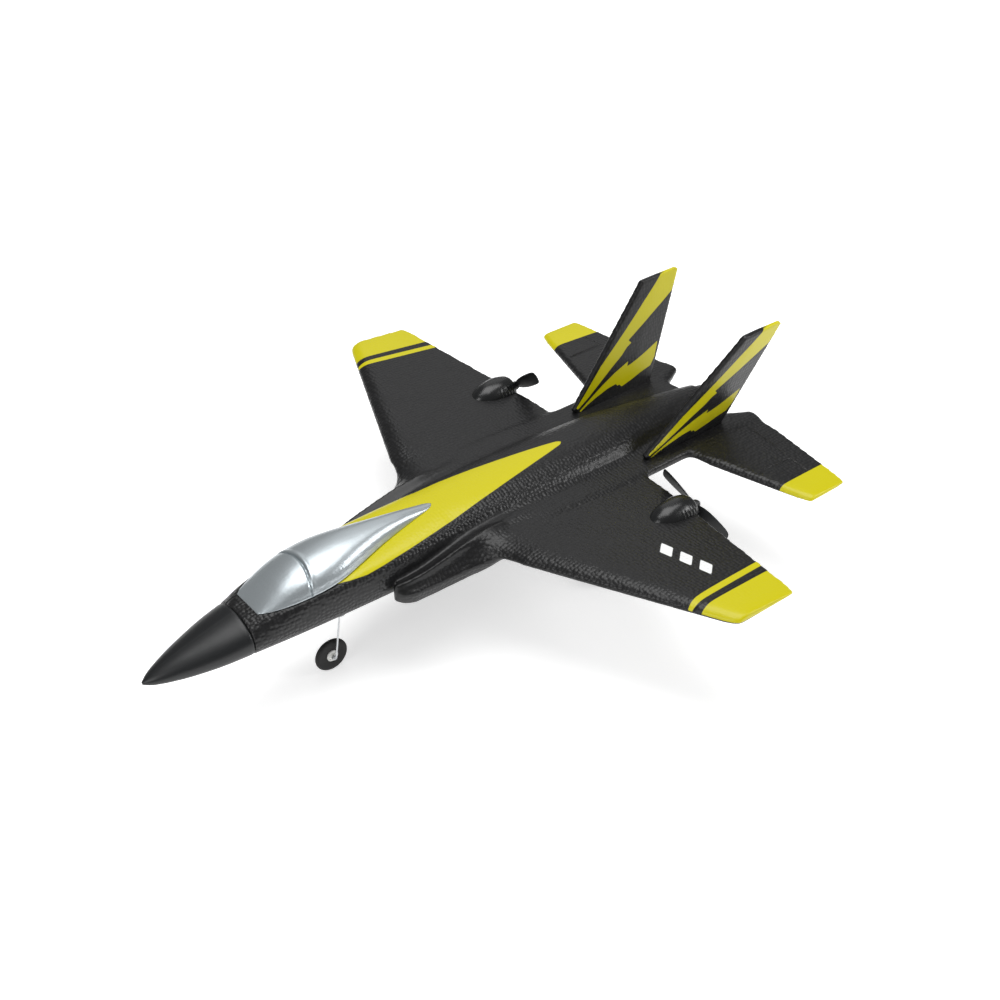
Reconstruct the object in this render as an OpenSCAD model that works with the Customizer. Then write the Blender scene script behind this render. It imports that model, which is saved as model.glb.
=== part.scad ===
// Twin-motor foam jet glider with two pusher propellers and wire landing gear.
// Millimetres. The nose points to -Y, the port wing to +X, and Z is up.
// The origin lies on the ground, under the middle of the whole model.
// Inside the modules a station is a distance behind the tip of the nose, and
// heights are counted from the underside of the wing root, the datum.

/* [Airframe] */
// Wing span, tip to tip
span = 295; // [240:1:360]
// Nose cone, from its tip to its seam
nose_len = 47; // [38:1:58]
// Fuselage from the nose seam to the rear tip of the canopy
cockpit_len = 107; // [100:1:130]
// Fuselage from the rear tip of the canopy to the exhaust
aft_len = 177; // [165:1:215]
// Greatest half width of the fuselage
body_half = 22; // [19:0.5:27]
// Height of the wing root's underside above the ground
ride_height = 56; // [46:1:68]

/* [Wing] */
// Half width of the flat centre section, where the wing panels start
root_half = 36; // [34:0.5:44]
// Chord of the wing panel at its root
wing_root_chord = 100.5; // [84:0.5:110]
// Chord of the wing panel at its tip
wing_tip_chord = 36.5; // [30:0.5:45]
// Sweep of the leading edge, in degrees
wing_sweep = 23; // [18:0.5:28]
// Rise of the wing tip over the root
wing_rise = 6.8; // [5:0.1:8.5]
// Thickness of the wing panel at its root
wing_thick = 7.5; // [7:0.1:9]
// Diameter of the carbon spar rods
spar_d = 2; // [1.5:0.1:2.4]
// Length of each spar rod
spar_len = 88; // [72:1:106]

/* [Tail] */
// Length of the tail shelf behind the wing root
shelf_len = 82; // [68:1:99]
// Chord of the tailplane at its root
stab_root_chord = 53; // [45:0.5:64]
// Chord of the tailplane at its tip
stab_tip_chord = 25.4; // [21:0.2:31]
// Reach of each tailplane half from the shelf
stab_reach = 65; // [54:0.5:78]
// Thickness of the tailplane
stab_thick = 4.4; // [3.6:0.1:5.2]
// Height of the fins above the datum
fin_height = 60.6; // [50:0.5:73]
// Chord of a fin where it meets the shelf
fin_root_chord = 53.5; // [46:0.5:64]
// Chord of a fin at its tip
fin_tip_chord = 28; // [24:0.5:34]
// Rake of a fin: how far its tip lies behind its root
fin_rake = 52.5; // [43:0.5:63]
// Thickness of a fin
fin_thick = 3.2; // [2.7:0.1:3.9]
// Outward lean of the fins, in degrees
fin_lean = 10.5; // [7:0.5:14]

/* [Motors] */
// Distance of each motor from the middle
motor_x = 68.7; // [64:0.1:78]
// Diameter of the motor can
can_d = 7; // [6:0.1:8.4]
// Length of the motor can
can_len = 20; // [17:0.5:24]
// Length of the motor pod
pod_len = 26; // [24:0.5:32]
// Fullest diameter of the motor pod
pod_d = 17.2; // [14.4:0.1:20.6]
// Diameter of the motor shaft
shaft_d = 1; // [0.8:0.1:1.2]
// Diameter of the propeller
prop_d = 47; // [39:0.5:54]
// Widest chord of a propeller blade
blade_chord = 7.4; // [6.2:0.1:8.4]

/* [Landing gear] */
// Diameter of a wheel
wheel_d = 17.4; // [14.5:0.1:20.8]
// Width of a tyre
tyre_w = 3; // [2.5:0.1:3.6]
// Diameter of the white hub that shows inside a tyre
hub_d = 6; // [5:0.1:7.2]
// Diameter of the leg wire
wire_d = 1; // [0.8:0.1:1.2]
// Distance of each main leg from the middle
main_leg_x = 28; // [27:0.5:30]

/* [Battery bay] */
// Length of the battery cell
cell_len = 36; // [30:0.5:42]
// Width of the battery cell
cell_w = 17; // [14.5:0.5:18.5]
// Thickness of the battery cell
cell_h = 8; // [6.8:0.1:8.8]
// Thickness of the hook-and-loop pad that holds the cell
pad_t = 0.8; // [0.6:0.1:1.2]
// Wall of the plastic battery box
box_wall = 1.2; // [1:0.1:1.4]

/* [Fits] */
// Radial clearance of a turning shaft or axle
run_gap = 0.05; // [0.03:0.01:0.08]
// Gap around the battery lid and the switch slider
lid_gap = 0.3; // [0.25:0.05:0.4]
// Radial gap around the leads in their foam channels
lead_gap = 0.2; // [0.1:0.05:0.4]

/* [Hidden] */
$fn = 32;

FOAM = "#2b2d2e";
YELLOW = "#dcd400";
SILVER = "#c3cacd";
BLACK = "#151616";
WHITE = "#eceeee";
STEEL = "#b9bcbe";
CLEAR = "#d9e2e6";
RED = "#b3221c";
GREEN = "#1f6b3a";
BLUE = "#2f4f8f";
EPS = 0.02;

// ---- Stations -------------------------------------------------------------
// The frame tables are drawn for these three lengths, and stretch() moves a
// drawn station to its place when one of the lengths changes.
DRAWN = [0, 47, 154, 331];
PLACED = [0, nose_len, nose_len + cockpit_len, nose_len + cockpit_len + aft_len];
function stretch(d) = lookup(d, [for (i = [0 : 3]) [DRAWN[i], PLACED[i]]]);
function drawn(s) = lookup(s, [for (i = [0 : 3]) [PLACED[i], DRAWN[i]]]);

wing_s = stretch(154) + 6;
panel_te_s = wing_s + wing_root_chord;
shelf_end_s = panel_te_s + shelf_len;
fin_s = panel_te_s + 5;
fin_tip_s = fin_s + fin_rake + fin_tip_chord;
intake_s = wing_s - 45;
overall_len = max(fin_tip_s, shelf_end_s, stretch(331));
panel_reach = span / 2 - root_half;

module ship() translate([0, -overall_len / 2, ride_height]) children();

// ---- Curves and lofts -----------------------------------------------------
function span_of(t, k, i = 0) = (i >= len(k) - 2 || t < k[i + 1][0]) ? i : span_of(t, k, i + 1);
function slope_at(k, i) =
    let (a = max(i - 1, 0), b = min(i + 1, len(k) - 1))
    (k[b][1] - k[a][1]) / (k[b][0] - k[a][0]);
// A smooth curve through the points of a short table
function curve(t, k) =
    let (i = span_of(t, k), h = k[i + 1][0] - k[i][0])
    let (u = min(max((t - k[i][0]) / h, 0), 1))
    let (m0 = slope_at(k, i) * h, m1 = slope_at(k, i + 1) * h)
    (2 * u^3 - 3 * u^2 + 1) * k[i][1] + (u^3 - 2 * u^2 + u) * m0
    + (3 * u^2 - 2 * u^3) * k[i + 1][1] + (u^3 - u^2) * m1;
function mix(a, b, t) = a + (b - a) * t;
function flipped(p) = [for (i = [len(p) - 1 : -1 : 0]) p[i]];

// A closed solid through rings that all have the same number of points
module loft(rings) {
    n = len(rings[0]);
    last = len(rings) - 1;
    sides = [for (r = [0 : last - 1]) for (i = [0 : n - 1])
        let (j = (i + 1) % n, a = r * n + i, b = r * n + j)
        each [[a, b, a + n], [b, b + n, a + n]]];
    caps = [[for (i = [n - 1 : -1 : 0]) i], [for (i = [0 : n - 1]) last * n + i]];
    polyhedron([for (r = rings) each r], concat(sides, caps), convexity = 6);
}

// A round rod from one point to the next, with a ball k times as thick at each bend
module rod(points, d, k = 1.12) {
    for (i = [0 : len(points) - 2]) {
        run = points[i + 1] - points[i];
        turn = [0, acos(run[2] / norm(run)), atan2(run[1], run[0])];
        translate(points[i]) rotate(turn) cylinder(h = norm(run), d = d);
    }
    for (i = [1 : 1 : len(points) - 2])
        translate(points[i]) rotate([17, 29, 41]) sphere(d = d * k);
}
// A six-sided channel for such a rod, a little longer than it at each bend
module channel(points, d) {
    for (i = [0 : len(points) - 2]) {
        run = points[i + 1] - points[i];
        turn = [0, acos(run[2] / norm(run)), atan2(run[1], run[0])];
        translate(points[i]) rotate(turn) translate([0, 0, -d / 2])
            cylinder(h = norm(run) + d, d = d / cos(30), $fn = 6);
    }
}
module mirrored_pair() {
    children();
    mirror([1, 0, 0]) children();
}
module block(x, s, z) translate([x[0], s[0], z[0]]) cube([x[1] - x[0], s[1] - s[0], z[1] - z[0]]);

// ---- Fuselage frames: [drawn station, value] ------------------------------
SILL_S = 53;
SILL_Z = 5;
SILL_RISE = 0.0822;
BELLY_Z = -16;
function sill_z(d) = SILL_Z + SILL_RISE * (d - SILL_S);
WIDTHS = [[0, 0.7], [3, 3.1], [7, 5.2], [14, 8], [21, 10.4], [34, 13.9], [47, 16], [60, 17.6],
    [75, 18.9], [92, 20], [115, 20.9], [154, 21.5], [200, 22], [240, 21.6], [270, 20], [300, 16],
    [331, 9.4]];
TOPS = [[0, -10.2], [3, -8.4], [7, -6.6], [14, -4], [21, -1.9], [34, 1.5], [47, 4.5]];
SPINE = [[154, 13.3], [168, 14.1], [200, 14.5], [234, 14.5], [262, 13.8], [290, 12.1],
    [312, 10.4], [331, 8.8]];
BOTTOMS = [[0, -11.5], [3, -12.7], [7, -13.5], [14, -14.4], [21, -14.9], [34, -15.5],
    [47, -15.8], [60, BELLY_Z], [80, BELLY_Z], [240, BELLY_Z], [262, -15], [300, -11], [331, -8]];
MIDDLES = [[0, -10.9], [21, -8.6], [47, -5.5], [75, -4], [115, -2.6], [154, -2], [200, 0], [331, 0]];
SILLS = [[53.5, 8.2], [57, 10.6], [65, 13.6], [75, 15.6], [85, 16.3], [94, 15.6], [104, 13.1],
    [112, 10.8], [122, 8], [135, 4.9], [145, 2.6], [154, 0.3]];
CROWNS = [[53.5, 5.3], [57, 7.6], [62, 10.6], [68, 13.6], [75, 16], [85, 17.7], [95, 18.6],
    [105, 18.9], [120, 18.2], [135, 16.6], [154, 13.5]];
UPPER_POWER = [[0, 2], [47, 2], [75, 2.3], [115, 2.9], [160, 2.6], [331, 2.1]];
LOWER_POWER = [[0, 2], [47, 2], [75, 2.2], [115, 2.5], [240, 2.6], [331, 2.1]];
FLAT_END = 47;

function half_width(d) = curve(d, WIDTHS) * body_half / 22;
function top_z(d) = d <= 47 ? curve(d, TOPS) : d <= 154 ? sill_z(d) : curve(d, SPINE);
function sill_half(d) = d <= FLAT_END ? 0 : d < 53.5 ? 8.2 * (d - 47) / 6.5 : d > 154 ? 0
    : curve(d, SILLS);

RING = 9;
// Points of one fuselage frame. Under the canopy its top is flat as far as c.
function frame_ring(d) =
    let (w = half_width(d), t = top_z(d), b = curve(d, BOTTOMS), m = curve(d, MIDDLES))
    let (c = sill_half(d), pu = 2 / curve(d, UPPER_POWER), pl = 2 / curve(d, LOWER_POWER))
    let (shoulder = c > 0.01 ? [c, t] : [w * sin(4)^pu, m + (t - m) * cos(4)^pu])
    let (up = [for (i = [1 : RING - 1]) let (a = 90 * i / RING)
        [c + (w - c) * sin(a)^pu, m + (t - m) * cos(a)^pu]])
    let (down = [for (i = [0 : RING]) let (a = 90 - 90 * i / RING)
        [w * sin(a)^pl, m - (m - b) * cos(a)^pl]])
    let (half = concat([[0, t], shoulder], up, down))
    let (left = [for (i = [len(half) - 2 : -1 : 1]) [-half[i][0], half[i][1]]])
    [for (p = concat(half, left)) [p[0], stretch(d), p[1]]];

module frame_loft(stations) loft([for (d = stations) flipped(frame_ring(d))]);

module fuselage_hull() frame_loft([47, 50, 53.5, 57, 62, 68, 75, 85, 95, 105, 115, 125, 135,
    145, 154, 168, 184, 200, 220, 240, 255, 270, 285, 300, 315, 331]);

// ---- Centre section of the wing with the tail shelf -----------------------
DECK = [[0, 4.6], [6, 6.2], [16, 7], [32, 7.1], [60, 6.3], [85, 4.9], [102, 4.6], [130, 4.8],
    [160, 4.5], [183, 3.6]];
function deck_z(s) = curve((s - wing_s) * 183 / (shelf_end_s - wing_s), DECK);
DECK_CROWN = 0.4;
// The crown of the deck, and the ridge that runs back over it from each intake
function ridge_z(x, s) = DECK_CROWN * (1 - (x / root_half)^2)
    + (s > wing_s ? 3.4 : 0) * max(0, 1 - (s - wing_s) / 32) * exp(-((abs(x) - 27.5) / 4)^2);
DECK_X = [-1, -0.9, -0.8, -0.7, -0.6, -0.3, 0, 0.3, 0.6, 0.7, 0.8, 0.9, 1];
module centre_section() {
    stations = [for (u = [0, 0.03, 0.08, 0.14, 0.2, 0.3, 0.42, 0.55, 0.7, 0.85, 1])
        mix(wing_s, shelf_end_s, u)];
    loft([for (s = stations) flipped(concat(
        [for (u = DECK_X) [u * root_half, s, deck_z(s) + ridge_z(u * root_half, s)]],
        [[root_half, s, 0], [-root_half, s, 0]]))]);
}
// The notches between the exhaust and the rear corners of the shelf
module shelf_notch() translate([0, 0, -20]) linear_extrude(60) polygon([
    [root_half - 8.4, shelf_end_s + EPS], [root_half - 16.8, shelf_end_s - 14.5],
    [12, stretch(331) - 1.5], [0, stretch(331) - 1.5], [0, shelf_end_s + EPS]]);

// ---- Battery bay, switch and leads ----------------------------------------
bay_half = cell_w / 2 + 1 + box_wall;
bay_s = intake_s - 2;
bay_end = bay_s + cell_len + 10 + 2 * box_wall;
box_low = BELLY_Z - 0.2;
lid_t = 1.2;
cell_z = box_low + lid_t + lid_gap;
box_top = cell_z + cell_h + pad_t + box_wall;
loft_top = box_top + 9;
board_z = box_top + 1;
board_half = cell_w / 2 - 0.4;
switch_s = bay_end + 5;
switch_len = 10;
switch_half = 2.4;
switch_top = box_low + 4.4;
lid_pin_z = box_low + lid_t / 2;
lid_pin_x = bay_half - box_wall - 1.1;
lid_pin_d = 0.9;
lead_d = 1.2;

module battery_pocket() {
    block([-bay_half, bay_half], [bay_s, bay_end], [box_low - 1, box_top]);
    block([-bay_half + 1, bay_half - 1], [bay_s + 2, bay_end - 2], [box_top - EPS, loft_top]);
    block([-switch_half, switch_half], [switch_s, switch_s + switch_len],
        [box_low - 1, switch_top]);
    channel(switch_route, lead_d + 2 * lead_gap);
}
switch_route = [[0, switch_s + 5, switch_top], [0, switch_s + 5, board_z + 2],
    [-4, bay_end - 2, board_z + 2], [-4, bay_end - 8, board_z + 2]];

// ---- Motors ---------------------------------------------------------------
motor_z = 3.2;
prop_s = panel_te_s;
pod_end = prop_s - 3.2;
pod_s = pod_end - pod_len;
can_end = pod_end - 1.2;
can_s = can_end - can_len;
lead_low = 1.6;
lead_turn = [root_half, pod_s - 12, lead_low];
lead_start = [bay_half - 4, bay_end - 6, board_z + 2];
motor_route = [[motor_x, can_s, motor_z], [motor_x, pod_s - 1, motor_z], lead_turn,
    [bay_half + 4, bay_end + 10, lead_low], lead_start];
module lead_channel() channel(motor_route, lead_d + 2 * lead_gap);

// ---- Wing -----------------------------------------------------------------
function wing_le(x) = wing_s + (x - root_half) * tan(wing_sweep);
wing_te_tip = wing_le(span / 2) + wing_tip_chord;
function wing_te(x) = mix(panel_te_s, wing_te_tip, (x - root_half) / panel_reach);
function wing_mid(x, v) = mix(3.9, 2, v) + wing_rise * (x - root_half) / panel_reach;
AIRFOIL = [0.018, 0.07, 0.16, 0.3, 0.48, 0.7, 0.88, 1];
// Half thickness of a rounded nose that tapers to a blunt tail, v from 0 to 1
function half_thick(v, t, te) = t / 2 * 2.598 * sqrt(v) * (1 - v) + te / 2 * v;
function foil_ring(x, le, te, t, tail, mid0, mid1) = concat(
    [[x, le, mid0]],
    [for (v = AIRFOIL) [x, mix(le, te, v), mix(mid0, mid1, v) + half_thick(v, t, tail)]],
    [for (i = [len(AIRFOIL) - 1 : -1 : 0]) let (v = AIRFOIL[i])
        [x, mix(le, te, v), mix(mid0, mid1, v) - half_thick(v, t, tail)]]);
module wing_hull() {
    stops = [[0, 1], [0.13, 0.97], [0.35, 0.9], [0.6, 0.8], [0.82, 0.72], [0.97, 0.66], [1, 0.4]];
    loft([for (k = stops)
        let (x = root_half + k[0] * panel_reach, in = k[0] > 0.98 ? 1 : 0)
        foil_ring(x, wing_le(x) + 1.5 * in, wing_te(x) - in, wing_thick * k[1],
            mix(2, 1.4, k[0]), wing_mid(x, 0), wing_mid(x, 1))]);
}
spar_s = wing_s + 42;
spar_lift = atan(wing_rise / panel_reach);
module spar_rod() translate([0.6, spar_s, 2.6]) rotate([0, 90 - spar_lift, 0])
    cylinder(h = spar_len, d = spar_d);
// Teardrop outline of the motor pod: part of its length, part of its radius
POD = [[0, 0.14], [0.045, 0.36], [0.09, 0.49], [0.142, 0.61], [0.26, 0.8], [0.37, 0.905],
    [0.49, 0.965], [0.64, 1], [0.76, 0.975], [0.9, 0.88], [1, 0.7]];
// Grooves between the cooling ribs: part of the length, part of the diameter
POD_RIBS = [[0.54, 0.94], [0.625, 0.955], [0.71, 0.945], [0.795, 0.905], [0.88, 0.84]];
module pod_blank() rotate_extrude($fn = 48) polygon(concat([[0, pod_s]],
    [for (k = POD) [k[1] * pod_d / 2, pod_s + k[0] * pod_len]], [[0, pod_end]]));
module pod_notch() translate([motor_x, 0, motor_z]) rotate([-90, 0, 0]) {
    pod_blank();
    translate([0, 0, pod_end - EPS]) cylinder(h = 12, d = 0.7 * pod_d);
}

module wing_panel() color(FOAM) difference() {
    wing_hull();
    pod_notch();
    spar_rod();
    lead_channel();
}

// ---- Tail -----------------------------------------------------------------
stab_s = shelf_end_s - 1 - stab_root_chord;
stab_z = 0.3 + stab_thick / 2;
module stab_half() color(FOAM) loft([for (k = [[0, 1], [0.5, 0.9], [0.97, 0.78], [1, 0.5]])
    let (le = mix(stab_s, stab_s + 18.3, k[0]), in = k[0] > 0.98 ? 0.8 : 0)
    let (c = mix(stab_root_chord, stab_tip_chord, k[0]))
    foil_ring(root_half + k[0] * stab_reach, le + in, le + c - in, stab_thick * k[1],
        1.6, stab_z, stab_z)]);

// A fin stands in a slot through the shelf, down to the datum
fin_x = 26;
module fin_blank() {
    slot = 0.6;
    translate([fin_x, 0, 0]) rotate([0, fin_lean, 0])
        rotate([90, 0, 90]) translate([0, 0, -fin_thick / 2]) linear_extrude(fin_thick)
            polygon([[fin_s, 6.6], [fin_s + 3, slot], [fin_s + fin_root_chord, slot],
                [fin_s + fin_root_chord + 1.5, 4], [fin_tip_s, fin_height / cos(fin_lean) - 1.5],
                [fin_tip_s - fin_tip_chord + 2, fin_height / cos(fin_lean)],
                [fin_tip_s - fin_tip_chord - 1, fin_height / cos(fin_lean) - 3]]);
}

// ---- Landing gear ---------------------------------------------------------
axle_z = wheel_d / 2 - ride_height;
nose_leg_s = bay_s - 13;
nose_axle_s = nose_leg_s - 6.8;
tyre_x = tyre_w / 2 + 1;
nose_mount_low = BELLY_Z - 10;
nose_route = [[0, nose_leg_s, BELLY_Z - 1.5], [0, nose_leg_s - 0.7, nose_mount_low - 2],
    [tyre_x + 1.8, nose_axle_s, axle_z], [-tyre_x - 1.3, nose_axle_s, axle_z]];
main_leg_s = wing_s + 88;
main_axle_s = main_leg_s - 4;
main_wheel_x = main_leg_x + 10;
main_route = [[main_leg_x, main_leg_s, -2], [main_leg_x, main_leg_s, -11],
    [main_wheel_x - tyre_x - 1.8, main_axle_s, axle_z],
    [main_wheel_x + tyre_x + 1.3, main_axle_s, axle_z]];
collar_w = 1;
module nose_mount_plate() block([-6, 6], [nose_leg_s - 8, nose_leg_s + 8],
    [BELLY_Z - 0.6, BELLY_Z + 0.8]);
module main_mount_block() block([main_leg_x - 3.5, main_leg_x + 3.5],
    [main_leg_s - 6, main_leg_s + 6], [-9.5, 0]);

module wheel_at(x, s) translate([x, s, axle_z]) rotate([0, 90, 0]) children();
module tyre() color(BLACK) rotate_extrude($fn = 48) polygon([
    [hub_d / 2, -tyre_w / 2 + 0.4], [wheel_d / 2 - 1.6, -tyre_w / 2], [wheel_d / 2 - 0.5, -tyre_w / 3],
    [wheel_d / 2, -tyre_w / 8], [wheel_d / 2, tyre_w / 8], [wheel_d / 2 - 0.5, tyre_w / 3],
    [wheel_d / 2 - 1.6, tyre_w / 2], [hub_d / 2, tyre_w / 2 - 0.4]]);
module hub() color(WHITE) difference() {
    union() {
        cylinder(h = tyre_w + 0.2, d = hub_d, center = true);
        cylinder(h = tyre_w + 1.2, d = wire_d + 1.6, center = true);
    }
    cylinder(h = tyre_w + 4, d = wire_d + 2 * run_gap, center = true);
}
module collar() difference() {
    cylinder(h = collar_w, d = wire_d + 1.4, center = true);
    cylinder(h = collar_w + 1, d = wire_d, center = true);
}

// ---- Sub-parts ------------------------------------------------------------
module fuselage() color(FOAM) difference() {
    union() {
        fuselage_hull();
        difference() {
            centre_section();
            mirrored_pair() shelf_notch();
        }
    }
    battery_pocket();
    nose_mount_plate();
    mirrored_pair() {
        fin_blank();
        spar_rod();
        lead_channel();
    }
}

module nose_cone() color("#26282a")
    frame_loft([0, 1.2, 3, 7, 14, 21, 28, 34, 41, 47]);

module canopy() color(SILVER) {
    stations = [53.5, 55, 57, 60, 64, 68, 75, 85, 95, 104, 112, 122, 135, 145, 154];
    loft([for (d = stations)
        let (c = sill_half(d), t = sill_z(d), k = curve(d, CROWNS))
        flipped(concat([for (i = [0 : 14]) let (a = 180 * i / 14)
            [-c * cos(a), stretch(d), t + (k - t) * sin(a)^0.9]]))]);
}

// Crest, upper edge of the side band and lower edge of an intake's blunt front, by the
// distance behind its tip
CREST_X = [[0, 24.6], [2, 25.6], [6, 26.8], [13, 27.8], [25, 28.2], [45, 27.8]];
CREST_Z = [[0, -0.6], [3, 0.2], [10, 1.4], [18, 2.7], [28, 5.2], [38, 7.4], [45, 8.6]];
EDGE_X = [[0, 26.4], [2, 28.4], [4, 30], [8, 31.2], [20, 32], [30, 33], [45, 34.6]];
EDGE_Z = [[0, -4.6], [10, -4.3], [22, -4], [32, -3.2], [40, -1.8], [45, -0.4]];
LOW_X = [[0, 25.6], [2, 27.2], [4, 28.8], [8, 29.8], [20, 30.6], [30, 31.4], [45, 33.4]];
LOW_Z = [[0, -9.8], [3, -11], [8, -11.7], [20, -11.4], [32, -10.2], [45, -7.6]];
// Outside and underside of the fairing that carries on under the wing root
INTAKE_OUT = [[45, 34.6], [60, 35.4], [80, 34.6], [105, 31.4], [135, 24]];
INTAKE_LOW = [[45, -7.6], [60, -6.6], [80, -6], [110, -4.6], [135, -1.4]];
intake_in = body_half - 0.6;
function cheek_x(x) = intake_in + (x - 21.4) * (root_half - intake_in) / 14.6;
function cheek_ring(u) =
    let (cx = cheek_x(curve(u, CREST_X)), cz = curve(u, CREST_Z), s = intake_s + u)
    let (ex = cheek_x(curve(u, EDGE_X)), ez = curve(u, EDGE_Z))
    let (bx = cheek_x(curve(u, LOW_X)), bz = curve(u, LOW_Z))
    [[intake_in, s, bz], [bx, s, bz], [ex, s, ez], [cx, s, cz], [intake_in, s, cz - 2.2]];
function intake_ring(u) =
    let (out = cheek_x(curve(u, INTAKE_OUT)), low = curve(u, INTAKE_LOW))
    [for (i = [0 : 10]) let (a = 180 * i / 10)
        [intake_in + (out - intake_in) * sin(a)^0.6, intake_s + u,
            low / 2 + low / 2 * (a > 90 ? -1 : 1) * abs(cos(a))^0.7]];
module intake() color(FOAM) difference() {
    union() {
        loft([for (u = [0, 2, 4, 8, 13, 20, 30, 38, 45]) cheek_ring(u)]);
        loft([for (u = [45, 60, 75, 90, 105, 120, 135]) intake_ring(u)]);
    }
    fuselage_hull();
    main_mount_block();
}

nozzle_r = 7.6;
module exhaust_nozzle() color("#303234") translate([0, stretch(331), 0.4]) rotate([-90, 0, 0])
    rotate_extrude($fn = 64) polygon([[5.6, 2], [5.6, 7.5], [6.4, 7.5], [nozzle_r, 0.5],
        [nozzle_r, 0], [0, 0], [0, 2]]);

module motor_pod() color(BLACK) translate([motor_x, 0, motor_z]) rotate([-90, 0, 0])
    difference() {
        pod_blank();
        // Cooling grooves round the rear half
        for (k = POD_RIBS) translate([0, 0, pod_s + k[0] * pod_len]) difference() {
            cylinder(h = 0.9, d = pod_d + 2, $fn = 48);
            translate([0, 0, -1]) cylinder(h = 3, d = k[1] * pod_d, $fn = 48);
        }
        translate([0, 0, can_s]) cylinder(h = can_len, d = can_d, $fn = 48);
        translate([0, 0, can_end - 1]) cylinder(h = 6, d = 3);
        translate([0, 0, pod_s - 1]) cylinder(h = can_s - pod_s + 2, d = lead_d + 2 * lead_gap);
    }
module motor_can() color(STEEL) translate([motor_x, can_s, motor_z]) rotate([-90, 0, 0])
    difference() {
        union() {
            cylinder(h = can_len, d = can_d, $fn = 48);
            translate([0, 0, can_len]) cylinder(h = 0.8, d = 2.4);
        }
        translate([0, 0, 3]) cylinder(h = can_len, d = shaft_d + 2 * run_gap);
    }
hub_s = prop_s - 2.6;
prop_hub_len = 5.2;
module motor_shaft() color(STEEL) translate([motor_x, can_s + 4, motor_z]) rotate([-90, 0, 0])
    cylinder(h = hub_s + prop_hub_len + 1 - can_s - 4, d = shaft_d);

BLADE = [[0.09, 0.5, 25], [0.22, 0.7, 21], [0.42, 0.92, 17], [0.65, 1, 14], [0.86, 0.98, 12],
    [0.96, 0.85, 11], [1, 0.55, 11]];
module blade() loft([for (k = BLADE)
    let (r = k[0] * prop_d / 2, c = k[1] * blade_chord, t = 0.9 - 0.35 * k[0])
    [for (p = [[-0.5, 0], [-0.25, -0.32], [0.15, -0.3], [0.5, 0], [0.2, 0.55], [-0.25, 0.65]])
        [r, p[0] * c * sin(k[2]) + p[1] * t * cos(k[2]),
            p[0] * c * cos(k[2]) - p[1] * t * sin(k[2])]]]);
module propeller(spin) color(BLACK) translate([motor_x, hub_s, motor_z]) difference() {
    union() {
        rotate([-90, 0, 0]) rotate_extrude($fn = 40) polygon([[0, 0], [2.4, 0], [2.4, 3.6],
            [1.7, prop_hub_len], [0, prop_hub_len]]);
        for (turn = [0, 180]) rotate([0, spin + turn, 0]) translate([0, prop_hub_len / 2, 0])
            blade();
    }
    translate([0, -1, 0]) rotate([-90, 0, 0]) cylinder(h = prop_hub_len + 2, d = shaft_d);
}
module motor_lead() color(RED) rod(motor_route, lead_d, 1.3);

module battery_box() color("#202123") difference() {
    block([-bay_half, bay_half], [bay_s, bay_end], [box_low, box_top]);
    block([-bay_half + box_wall, bay_half - box_wall], [bay_s + box_wall, bay_end - box_wall],
        [box_low - 1, box_top - box_wall]);
    block([-3.5, 3.5], [bay_end - box_wall - 5, bay_end - box_wall - 0.8],
        [box_top - box_wall - 1, box_top + 1]);
    translate([lid_pin_x, bay_s - 1, lid_pin_z]) rotate([-90, 0, 0])
        cylinder(h = bay_end - bay_s + 2, d = lid_pin_d);
}
lid_round = lid_t / 2 + 0.15;
module battery_lid() color("#242628") difference() {
    union() {
        block([-bay_half + box_wall + lid_gap, lid_pin_x],
            [bay_s + box_wall + lid_gap, bay_end - box_wall - lid_gap],
            [box_low, box_low + lid_t]);
        translate([lid_pin_x, bay_s + box_wall + lid_gap, lid_pin_z]) rotate([-90, 0, 0])
            cylinder(h = bay_end - bay_s - 2 * box_wall - 2 * lid_gap, r = lid_round);
    }
    translate([lid_pin_x, bay_s - 1, lid_pin_z]) rotate([-90, 0, 0])
        cylinder(h = bay_end - bay_s + 2, d = lid_pin_d + 2 * run_gap);
    translate([-bay_half + box_wall + 3, (bay_s + bay_end) / 2, box_low - 3])
        cylinder(h = 3.5, r = 3.2);
}
module lid_pin() color(STEEL) translate([lid_pin_x, bay_s, lid_pin_z]) rotate([-90, 0, 0])
    cylinder(h = bay_end - bay_s, d = lid_pin_d);
cell_s = bay_s + box_wall + 1.5;
module battery_cell() color(BLUE)
    block([-cell_w / 2, cell_w / 2], [cell_s, cell_s + cell_len], [cell_z, cell_z + cell_h]);
module cell_pad() color(BLACK)
    block([-cell_w / 2 + 3, cell_w / 2 - 3], [cell_s + 3, cell_s + cell_len - 3],
        [cell_z + cell_h, cell_z + cell_h + pad_t]);
module battery_lead() color(RED) {
    up_s = bay_end - box_wall - 3;
    top = board_z + 2.6;
    for (x = [-0.9, 0.9]) rod([[x, cell_s + cell_len, cell_z + 4], [x, up_s, cell_z + 4],
        [x, up_s, top], [x, plug_s + 5, top]], lead_d);
}
plug_s = bay_end - 14;
module battery_plug() color(WHITE)
    block([-2.6, 2.6], [plug_s, plug_s + 5], [board_z + 1.2, board_z + 4.2]);
module plug_socket() color(WHITE)
    block([-3.2, 3.2], [plug_s - 6, plug_s], [board_z + 1.2, board_z + 4.8]);
module receiver_board() color(GREEN) {
    block([-board_half, board_half], [bay_s + 4, plug_s + 6], [board_z, board_z + 1.2]);
    block([-4, 4], [bay_s + 8, bay_s + 24], [box_top, board_z]);
}
module board_chips() color(BLACK) {
    for (k = [[-6, 8, 5], [1, 9, 6], [-6, 17, 4], [2, 19, 4]])
        block([k[0], k[0] + k[2]], [bay_s + k[1], bay_s + k[1] + k[2]],
            [board_z + 1.2, board_z + 2.4]);
}
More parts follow.
